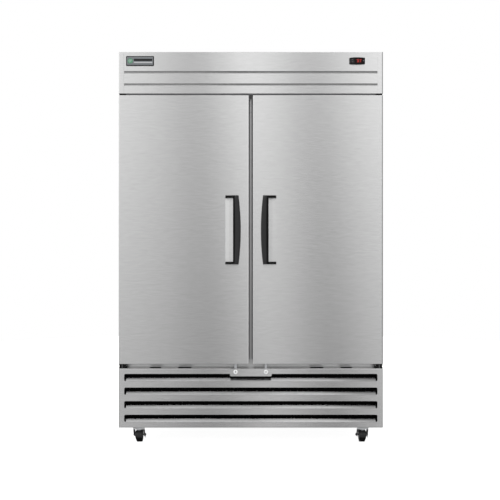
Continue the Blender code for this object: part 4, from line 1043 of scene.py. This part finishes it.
def make_pedal(name, x, axle):
    """A black foot cap with a notched upper edge and a rubber toe, on a strap that hinges in the fork."""
    body = f"caster_brake_{name}"
    near = WHEEL_R + 0.0032

    def around(angle, radius, reach):
        t = radians(angle)
        return (x + reach, axle.y + radius * cos(t), axle.z + radius * sin(t))

    def shell(shape, starts, end, thick):
        """A bowed cover from an upper edge, given by two angles at its middle and its sides, down to an angle."""
        outer, inner = [], []
        for i in range(13):
            t = i / 12
            line_out, line_in = [], []
            for j in range(13):
                u = -1 + j / 6
                start = starts[0] + (starts[1] - starts[0]) * min(1.0, abs(u) / 0.75)
                angle = start + (end - start) * t
                wide = pedal_half(angle)
                bow = 0.0014 * (1 - u * u)
                rim = 0.003 * abs(u) ** 8
                line_out.append(around(angle, near + thick + bow - 0.4 * rim, wide * u))
                line_in.append(around(angle, near + 0.001 + 0.6 * bow - 0.6 * rim, wide * u * 0.98))
            outer.append(line_out)
            inner.append(line_in)
        plate(shape, outer, inner)

    strap_front, strap_back = [], []
    for i in range(15):
        angle = 93 + i * 80 / 14
        strap_front.append([around(angle, near + 0.001, 0.012 * u) for u in (-1, -0.5, 0, 0.5, 1)])
        strap_back.append([around(angle, near - 0.0004, 0.012 * u) for u in (-1, -0.5, 0, 0.5, 1)])
    strap = Shape()
    plate(strap, strap_front, strap_back)
    strap.rod("X", (x, axle.y + 0.014, axle.z + near + 0.001), 0.0026, 0.039, 16, 0.0004)
    # The strap takes the darker zinc: painted shade.
    strap.done(f"brake_strap_{name}", ZINC_SHADE, body, replaces=[body])
    spring = Shape()
    high, low = axle.z + 0.0362, axle.z + 0.0185
    shoulder = high - 0.0055
    outline = [(-0.0125, high), (-0.0105, shoulder), (-0.003, low), (0.003, low), (0.0105, shoulder), (0.0125, high)]
    front = axle.y - near - 0.0004 + 0.0085
    spring.prism("XZ", [(x + u, v) for u, v in outline], front, front + 0.0014, 0.0004, 1)
    spring.done(f"brake_spring_{name}", ZINC, body)
    cap = Shape()
    shell(cap, (143, 124), 188, 0.003)
    for number in range(3):
        angle = 162 + number * 9
        rows = []
        for radius in (near + 0.004, near + 0.0054):
            corners = ((-1.4, -1), (-1.4, 1), (1.4, 1), (1.4, -1))
            rows.append([around(angle + lean, radius, 0.012 * u) for lean, u in corners])
        loft(cap, rows)
    cap.done(f"brake_pedal_{name}", BLACK, body, smooth=40)
    toe = Shape()
    shell(toe, (188.6, 188.6), 206, 0.0022)
    toe.done(f"brake_toe_{name}", TREAD, body, slot="black", smooth=40)


# ---------------------------------------------------------------- inside
def make_shelf(tag, level):
    """A coated wire shelf: fine wires front to back on three cross rods, inside a rounded rim."""
    low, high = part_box(f"shelf_{tag}_{level}")
    z = (low.z + high.z) / 2
    rail = 0.0026
    shape = Shape()
    x0, x1, y0, y1 = low.x + rail, high.x - rail, low.y + rail, high.y - rail
    rim_z = z - 0.0002
    corner = 0.012
    rim = [(px, py, rim_z) for px, py in rounded((x0, x1), (y0, y1), corner, 4)]
    shape.tube(rim, rail, 8, closed=True)
    for cross in (0.17, 0.5, 0.83):
        y = y0 + (y1 - y0) * cross
        shape.tube([(x0, y, z - 0.0006), (x1, y, z - 0.0006)], 0.0023, 8)
    count = 26
    for i in range(count):
        x = x0 + (x1 - x0) * (i + 0.7) / (count + 0.4)
        path = [(x, y1, z + 0.0014), (x, y0 + 0.001, z + 0.0014)]
        shape.tube(path, 0.0014, 6)
    return shape.done(f"wire_shelf_{tag}_{level}", WIRE, replaces=[f"shelf_{tag}_{level}"])


# The foam wall, the liner with its gap, a shelf standard's depth, and the pitch of its slots.
WALL = 0.06
LINER_THICK = 0.0004 + 0.0005
STANDARD_DEEP = 0.006
SLOT_PITCH = 0.0254


def make_supports():
    """Near-black slots down the shelf standards, painted shade in their holes, and a zinc clip under each shelf corner.
    """
    slots = Shape()
    clips = Shape()
    wall_x = HALF - WALL - LINER_THICK - STANDARD_DEEP
    wall_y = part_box("interior_liner")[1].y - 0.0005 - STANDARD_DEEP
    levels = [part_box(f"shelf_left_{level}")[0].z for level in ("lower", "middle", "upper")]
    heights = [0.545 + number * SLOT_PITCH for number in range(46)]
    for side, _ in SIDES:
        for y in (-0.2, 0.273):
            for z in heights:
                if any(-0.014 < z - level < 0.004 for level in levels):
                    continue
                slots.box((side * wall_x, y - 0.0055, z - 0.003), (side * (wall_x - 0.00035), y + 0.0055, z + 0.003))
            for level in levels:
                top = level - 0.0006
                clip = [(wall_x + 0.0005, top - 0.015), (wall_x - 0.0035, top - 0.015), (0.6085, top - 0.0085)]
                clip += [(0.6085, top), (wall_x + 0.0005, top)]
                clips.prism("XZ", [(side * x, z) for x, z in clip], y - 0.008, y + 0.008, 0.0006, 1)
    for z in heights:
        for x in (-0.0075, 0.0075):
            slots.box((x - 0.003, wall_y, z - 0.0055), (x + 0.003, wall_y - 0.00035, z + 0.0055))
    # The slots are near-black boxes: painted shade in the holes.
    slots.done("standard_slots", PAINTED_SHADE)
    clips.done("shelf_clips", ZINC)


def make_lamp():
    """Two light bars under the insulated header wall, with end caps."""
    z = 1.8055
    section = [
        (-0.299, z), (-0.266, z), (-0.268, z - 0.01), (-0.278, z - 0.015), (-0.29, z - 0.014), (-0.297, z - 0.008),
    ]
    for tag, start in (("right", 0.11), ("left", -0.55)):
        Shape().prism(
            "YZ", [(y + 0.018, v) for y, v in section], start, start + 0.44, 0.002, 2,
        ).done(f"lamp_lens_{tag}", LAMP)
    caps = Shape()
    for start in (-0.562, -0.112, 0.098, 0.548):
        caps.prism(
            "YZ", [((y + 0.282) * 1.08 - 0.282 + 0.018, z + (v - z) * 1.08) for y, v in section], start, start + 0.014,
            0.002, 2,
        )
    caps.done("lamp_caps", WHITE)


def coil_fins(low, high, count, margin, inset):
    """Thin fins across the whole width of a coil, with margins at its ends."""
    fins = Shape()
    for i in range(count):
        x = low.x + margin + (high.x - low.x - 2 * margin) * i / (count - 1)
        fins.box((x - 0.0002, low.y + inset, low.z), (x + 0.0002, high.y - inset, high.z))
    return fins


def coil_tubes(low, high, inset, rows, depths, bend, steps, gauge):
    """Rows of tubes through a coil, whose ends are joined by return bends. A bend has its middle, half-depth and
    bulge; a gauge has the radius and the number of sides."""
    tubes = Shape()
    shift, radius, out = bend
    for i in range(rows):
        z = low.z + (high.z - low.z) * (i + 0.5) / rows
        for deep in depths:
            tubes.tube([(low.x + inset, low.y + deep, z), (high.x - inset, low.y + deep, z)], *gauge)
        for x, way in ((low.x + inset, -1), (high.x - inset, 1)):
            for deep, next_deep in zip(depths, depths[1:]):
                path = [(x, low.y + deep, z)]
                for k in range(steps + 1):
                    turn = pi * k / steps
                    path.append((x + way * out * sin(turn), low.y + deep + shift - radius * cos(turn), z))
                tubes.tube(path + [(x, low.y + next_deep, z)], *gauge)
    return tubes


def make_evaporator():
    """Finned coil with return bends, curved fan blades, wire guards, and a drain spout."""
    low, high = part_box("evaporator_coil")
    coil_fins(low, high, 110, 0.012, 0.0).done("evaporator_fins", FINS, replaces=["evaporator_coil"])
    tubes = coil_tubes(low, high, 0.002, 4, (0.03, 0.08, 0.13), (0.025, 0.025, 0.012), 8, (0.0048, 10))
    tubes.done("evaporator_tubes", COPPER)
    housing_low, housing_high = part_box("evaporator_housing")
    for _, tag in SIDES:
        node = f"evaporator_fan_{tag}"
        fan_low, fan_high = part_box(node)
        centre = tuple((fan_low + fan_high) / 2)
        wheel = Shape()
        hub = [
            (0.0, -0.013), (0.012, -0.012), (0.017, -0.008), (0.0178, 0.011), (0.0036, 0.011), (0.0036, -0.004),
            (0.0, -0.004),
        ]
        wheel.ring("Y", centre, hub, 32)
        for number in range(5):
            blade(wheel, centre, 0.0165, 0.061, 2 * pi * number / 5, 0.85, 0.017, 0.0035, 0.0018)
        wheel.done(f"evaporator_blades_{tag}", BLACK, node, replaces=[node])
        fan_guard(f"evaporator_guard_{tag}", centre, 0.07, housing_low.y - 0.004, ZINC, 6, 4, 0.001)
        Shape().ring(
            "Y", (centre[0], housing_low.y, centre[2]),
            [(0.068, -0.0015), (0.0745, -0.0015), (0.0755, 0.0004), (0.068, 0.01), (0.0665, 0.01), (0.0665, 0.0004)],
            40,
        ).done(f"evaporator_ring_{tag}", WHITE)
    pan_shape = Shape()
    z = housing_low.z
    outline = rounded((-0.43, 0.43), (housing_low.y + 0.012, housing_high.y + 0.004), 0.012, 4)
    pan_shape.prism("XY", outline, z - 0.014, z - 0.0006, 0.004, 2)
    spout = [(0.006, 0.0), (0.01, 0.0), (0.009, -0.016), (0.007, -0.016)]
    pan_shape.ring("Z", (0.0, housing_high.y - 0.03, z - 0.014), spout, 24)
    pan_shape.done("drain_pan", WHITE)


def make_condensing_unit():
    """Finned coil, curved blades, guard, refrigerant lines and a drier around the compressor."""
    low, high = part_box("condenser_coil")
    fins = coil_fins(low, high, 120, 0.006, 0.001)
    for x in (low.x, high.x):
        fins.box((x - 0.0012 if x > low.x else x, low.y, low.z), (x if x > low.x else x + 0.0012, high.y, high.z))
    fins.done("condenser_fins", BLACK_FINS, replaces=["condenser_coil"])
    tubes = coil_tubes(low, high, 0.0, 9, (0.014, 0.036), (0.011, 0.011, 0.009), 6, (0.004, 8))
    tubes.done("condenser_tubes", COPPER, slot="coil")
    fan_low, fan_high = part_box("condenser_fan")
    centre = tuple((fan_low + fan_high) / 2)
    wheel = Shape()
    hub = [
        (0.0, 0.015), (0.018, 0.014), (0.025, 0.009), (0.0258, -0.0105), (0.004, -0.0105), (0.004, 0.004), (0.0, 0.004),
    ]
    wheel.ring("Y", centre, hub, 36)
    for number in range(5):
        blade(wheel, centre, 0.024, 0.103, 2 * pi * number / 5, 0.8, 0.019, 0.005, 0.0014, 0.3)
    wheel.done("condenser_blades", FINS, "condenser_fan", replaces=["condenser_fan"])
    shroud_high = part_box("condenser_fan_shroud")[1]
    fan_guard("condenser_guard", centre, 0.112, shroud_high.y + 0.004, PAINT, 8, 4, 0.0014)
    body_low, body_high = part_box("compressor")
    middle_x = (body_low.x + body_high.x) / 2
    middle_y = (body_low.y + body_high.y) / 2
    seam = Shape()
    band = [(0.0845, -0.003), (0.0885, -0.0026), (0.0885, 0.0026), (0.0845, 0.003)]
    seam.ring("Z", (middle_x, middle_y, body_low.z + 0.11), band, 64)
    seam.done("compressor_seam", PAINT)
    lines = Shape()
    port_z, suction_z, pan_z, liquid_z, top_z = body_low.z + 0.08, body_low.z + 0.13, 0.128, 0.16, 0.4085
    loop_x, loop_y, back_y = middle_x - 0.105, middle_y - 0.105, low.y + 0.03
    discharge = [
        (middle_x - 0.06, middle_y - 0.06, port_z), (loop_x, loop_y, port_z), (loop_x, loop_y, 0.35),
        (high.x + 0.016, loop_y, 0.35), (high.x + 0.016, back_y, 0.35), (high.x + 0.002, back_y, 0.35),
    ]
    suction = [
        (middle_x + 0.055, middle_y + 0.06, suction_z), (middle_x + 0.11, middle_y + 0.12, suction_z),
        (middle_x + 0.11, middle_y + 0.16, suction_z), (middle_x + 0.11, middle_y + 0.16, top_z),
    ]
    liquid = [
        (low.x - 0.002, back_y, pan_z), (low.x - 0.03, back_y, pan_z), (low.x - 0.03, 0.08, pan_z),
        (-0.12, 0.08, pan_z), (-0.12, 0.2, pan_z), (-0.12, 0.2, liquid_z), (0.02, 0.2, liquid_z),
    ]
    capillary = [(0.12, 0.2, liquid_z), (0.16, 0.2, liquid_z), (0.16, 0.24, liquid_z), (0.16, 0.24, top_z)]
    for points, bend, radius, sides in (
        (discharge, 0.022, 0.004, 10), (suction, 0.025, 0.0062, 12), (liquid, 0.02, 0.0034, 10),
        (capillary, 0.018, 0.0026, 8),
    ):
        lines.tube(bend_path(points, bend), radius, sides)
    lines.done("refrigerant_lines", COPPER)
    drier = Shape()
    shell = [
        (0.0, -0.052), (0.0045, -0.052), (0.006, -0.04), (0.0115, -0.034), (0.012, 0.03), (0.0065, 0.04),
        (0.0045, 0.052), (0.0, 0.052),
    ]
    drier.ring("X", (0.07, 0.2, 0.16), shell, 28)
    drier.done("filter_drier", COPPER)
    nuts = Shape()
    nut = [(0.0, 0.0), (0.009, 0.0), (0.009, 0.002), (0.005, 0.0022), (0.005, 0.007), (0.0, 0.007)]
    floor_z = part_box("base_frame")[0].z + 0.0058
    for y in (middle_y - 0.063, middle_y + 0.063):
        for px in (middle_x - 0.098, middle_x + 0.098):
            nuts.ring("Z", (px, y, body_low.z + 0.0185), nut, 20)
    nuts.done("compressor_nuts", ZINC)
    pan_shape = Shape()
    outer = rounded((-0.6, -0.18), (0.13, 0.34), 0.015, 4)
    pan_shape.prism("XY", outer, floor_z, floor_z + 0.045, 0.004, 2)
    tray = pan_shape.done("condensate_tray", HUB)
    inner = rounded((-0.596, -0.184), (0.134, 0.336), 0.012, 4)
    carve(tray, Shape().prism("XY", inner, floor_z + 0.003, floor_z + 0.06))


# The middle of the power inlet on the rear cover.
INLET_X, INLET_Z = 0.555, 0.3325


def make_back():
    """Louvre hoods over the rear vents, screws, and the power inlet's box and gland."""
    low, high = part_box("rear_cover")
    hoods = Shape()
    for number in range(6):
        z = low.z - 0.002 + 0.075 + number * 0.03
        for start in (-0.445, -0.145, 0.155):
            front, back = [], []
            for i in range(7):
                t = i / 6
                drop = z + 0.013 - 0.0125 * t
                out = high.y - 0.0008 + 0.0058 * sin(t * pi / 2) - 0.004
                front.append([(start + 0.29 * u, out, drop) for u in (0, 0.02, 0.98, 1)])
                back.append([(start + 0.29 * u, out - 0.001, drop - 0.0006) for u in (0, 0.02, 0.98, 1)])
            plate(hoods, front, back)
    hoods.done("rear_louvres", GALVANISED)
    screws = Shape()
    back_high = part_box("back_panel")[1]
    for columns, y, heights in (
        ((-0.672, -0.336, 0.0, 0.336, 0.672), high.y - 0.0002, (low.z + 0.01, high.z - 0.01)),
        ((-0.67, 0.67), back_high.y, [0.46 + number * 0.255 for number in range(7)]),
        ((-0.4, 0.0, 0.4), back_high.y, (0.43, 2.04)),
    ):
        for x in columns:
            for z in heights:
                screw_head(screws, "Y", (x, y, z), 0.0042, 1)
    screws.done("rear_screws", ZINC)
    Shape().box((0.52, high.y - 0.0004, 0.3), (0.59, high.y + 0.006, 0.365), 0.0025, 3).done("power_inlet_plate", PAINT)
    inlet = Shape()
    socket = [
        (0.0, -0.002), (0.014, -0.002), (0.014, 0.002), (0.0115, 0.0032), (0.0105, 0.0032), (0.01, 0.001), (0.0, 0.001),
    ]
    inlet.ring("Y", (INLET_X, high.y + 0.006, INLET_Z), socket, 32)
    inlet.done("power_inlet_socket", BLACK)
    pins = Shape()
    for turn in (90, 210, 330):
        t = radians(turn)
        place = (INLET_X + 0.0052 * cos(t), high.y + 0.0075, INLET_Z + 0.0052 * sin(t))
        pins.rod("Y", place, 0.0013, 0.003, 12)
    pins.done("power_inlet_pins", CHROME)
    ribs = Shape()
    for x in (-0.34, 0.34):
        ribs.prism(
            "XZ", rounded((x - 0.22, x + 0.22), (0.56, 1.9), 0.03, 5), back_high.y - 0.0005, back_high.y + 0.0022,
            0.0015, 2,
        )
    ribs.done("back_stiffeners", GALVANISED)


# ---------------------------------------------------------------- stage
def make_world():
    """Soft studio light: tall light panels in front of the doors, and an even glow around them."""
    world = bpy.data.worlds.new("studio")
    bpy.context.scene.world = world
    world.use_nodes = True
    tree = world.node_tree
    tree.nodes.clear()
    towards = add_node(tree, "TexCoord").outputs["Generated"]
    part = add_node(tree, "SeparateXYZ", {0: towards})

    def calc(operation, a, b=0.0, c=0.0):
        return add_node(tree, "Math", {0: a, 1: b, 2: c}, operation=operation).outputs[0]

    def multiplied(a, b):
        settings = {"data_type": "RGBA", "blend_type": "MULTIPLY"}
        return add_node(tree, "Mix", {0: 1.0, 6: a, 7: b}, **settings).outputs[2]

    ahead = calc("MULTIPLY", part.outputs["Y"], -1.0)
    reach = calc("MAXIMUM", ahead, 0.05)
    across = calc("DIVIDE", part.outputs["X"], reach)
    up = calc("DIVIDE", part.outputs["Z"], reach)
    # The panels stand a few degrees off the vertical.
    lean = calc("MULTIPLY_ADD", up, 0.24, -0.006)
    panel = calc("MULTIPLY_ADD", across, MIRROR_AWAY, lean)
    panel_at = calc("MULTIPLY_ADD", panel, 1 / (2 * PANEL_REACH), 0.5)
    bands = ramp(tree, panel_at, [((s + PANEL_REACH) / (2 * PANEL_REACH), level) for s, level in PANEL_BANDS], "EASE")
    # From the slope of a mirrored ray to the height on the doors, and from there to the ramp's scale.
    height_at = calc("MULTIPLY_ADD", up, MIRROR_AWAY / PANEL_SPAN, (MIRROR_HEIGHT - PANEL_LOWEST) / PANEL_SPAN)
    falloff = ramp(tree, height_at, [((z - PANEL_LOWEST) / PANEL_SPAN, level) for z, level in PANEL_HEIGHTS])
    front = multiplied(bands, falloff)
    around = ramp(
        tree, calc("MULTIPLY_ADD", part.outputs["Z"], 0.5, 0.5),
        ((0.0, 0.12), (0.35, 0.18), (0.46, 0.36), (0.56, 0.8), (0.8, 0.8), (0.93, 0.55), (1.0, 0.5)),
    )
    shade = ramp(
        tree, calc("MULTIPLY_ADD", part.outputs["X"], 0.5, 0.5),
        ((0.0, 1.2), (0.25, 1.0), (0.78, 1.0), (0.93, 0.7), (1.0, 0.9)),
    )
    turn = calc("ARCTAN2", part.outputs["X"], part.outputs["Y"])
    # The glow rises and falls a little, seven times round the object.
    wave = calc("MULTIPLY_ADD", calc("SINE", calc("MULTIPLY", turn, 7.0)), 0.16, 1.0)
    around = multiplied(multiplied(around, wave), shade)
    facing = add_node(
        tree, "MapRange", {"Value": ahead, "From Min": 0.25, "From Max": 0.6, "To Min": 0.0, "To Max": 1.0},
        interpolation_type="SMOOTHSTEP",
    )
    light = add_node(tree, "Mix", {0: facing.outputs[0], 6: around, 7: front}, data_type="RGBA")
    lit = add_node(tree, "Background", {"Color": light.outputs[2], "Strength": 1.0})
    backdrop = add_node(tree, "Background", {"Color": (1, 1, 1, 1), "Strength": 1.0})
    seen = add_node(tree, "LightPath").outputs["Is Camera Ray"]
    both = add_node(tree, "MixShader", {0: seen, 1: lit.outputs[0], 2: backdrop.outputs[0]})
    add_node(tree, "OutputWorld", {0: both.outputs[0]})


# The panels are given as a viewer this far away, at this height, sees them mirrored in the doors.
MIRROR_AWAY, MIRROR_HEIGHT = 4.0, 1.028
PANEL_REACH, PANEL_LOWEST, PANEL_SPAN = 3, -3.0, 8.0
# Brightness of the light panels across, by where the middle of the doors mirrors them.
PANEL_BANDS = (
    (-3.0, 1.15), (-2.5, 0.72), (-1.9, 1.02), (-1.2, 1.14), (-0.7, 1.0), (-0.47, 0.87), (-0.3, 0.64), (-0.21, 0.54),
    (-0.1, 0.82), (0.03, 1.14), (0.18, 1.0), (0.32, 0.66), (0.41, 0.52), (0.56, 0.86), (0.72, 1.08), (1.2, 1.16),
    (1.9, 1.14), (2.3, 1.1), (2.7, 0.6), (3.0, 0.36),
)
# Brightness from the floor upwards, by the height on the doors that mirrors it.
PANEL_HEIGHTS = (
    (-3.0, 0.26), (-1.0, 0.34), (0.12, 0.56), (0.45, 0.66), (1.13, 0.87), (1.82, 1.13), (2.05, 1.22), (3.0, 1.5),
    (4.5, 1.6),
)


def make_stage():
    """A round pale floor that lights itself and isn't mirrored in the steel."""
    floor = new_object("floor", bpy.data.meshes.new("floor"))
    shape = bmesh.new()
    bmesh.ops.create_circle(shape, cap_ends=True, segments=96, radius=5.0)
    shape.to_mesh(floor.data)
    shape.free()
    pale = surface("pale_floor", 0.55, 0.58, (0.6, 0.7), 0.0, 3, 2.0)
    set_inputs(pale.node_tree.nodes["Principled BSDF"], {"Emission Color": (1, 1, 1, 1), "Emission Strength": 0.93})
    floor.data.materials.append(pale)
    floor.visible_glossy = False


# Where the camera stands: across, in front of the doors, and above the floor.
EYE_X, EYE_AWAY, EYE_HEIGHT = -0.0042, 4.0, 1.0278
FOCAL_LENGTH = 55.17


def make_camera():
    """A frontal view from four metres, level with the middle of the cabinet."""
    lens = bpy.data.cameras.new("camera")
    lens.sensor_width = 36
    lens.lens = FOCAL_LENGTH
    camera = new_object("camera", lens)
    camera.location = (EYE_X, FRONT_Y - EYE_AWAY, EYE_HEIGHT)
    camera.rotation_euler = (pi / 2, 0, 0)
    bpy.context.scene.camera = camera
    bpy.context.scene.view_settings.view_transform = "Standard"


for side, tag in SIDES:
    make_handle(side, tag)
    make_pull_plate(side, tag)
    make_edge_trims(side, tag)
    make_gasket(side, tag)
    make_door_details(side, tag)
    make_hinges(side, tag)
    for row in ("front", "back"):
        make_caster(row, tag)
    for level in ("lower", "middle", "upper"):
        make_shelf(tag, level)
make_controller()
make_badge()
make_header_caps()
make_locks()
make_shade_filter()
make_front_screws()
make_supports()
make_lamp()
make_evaporator()
make_condensing_unit()
make_back()
make_world()
make_stage()
make_camera()
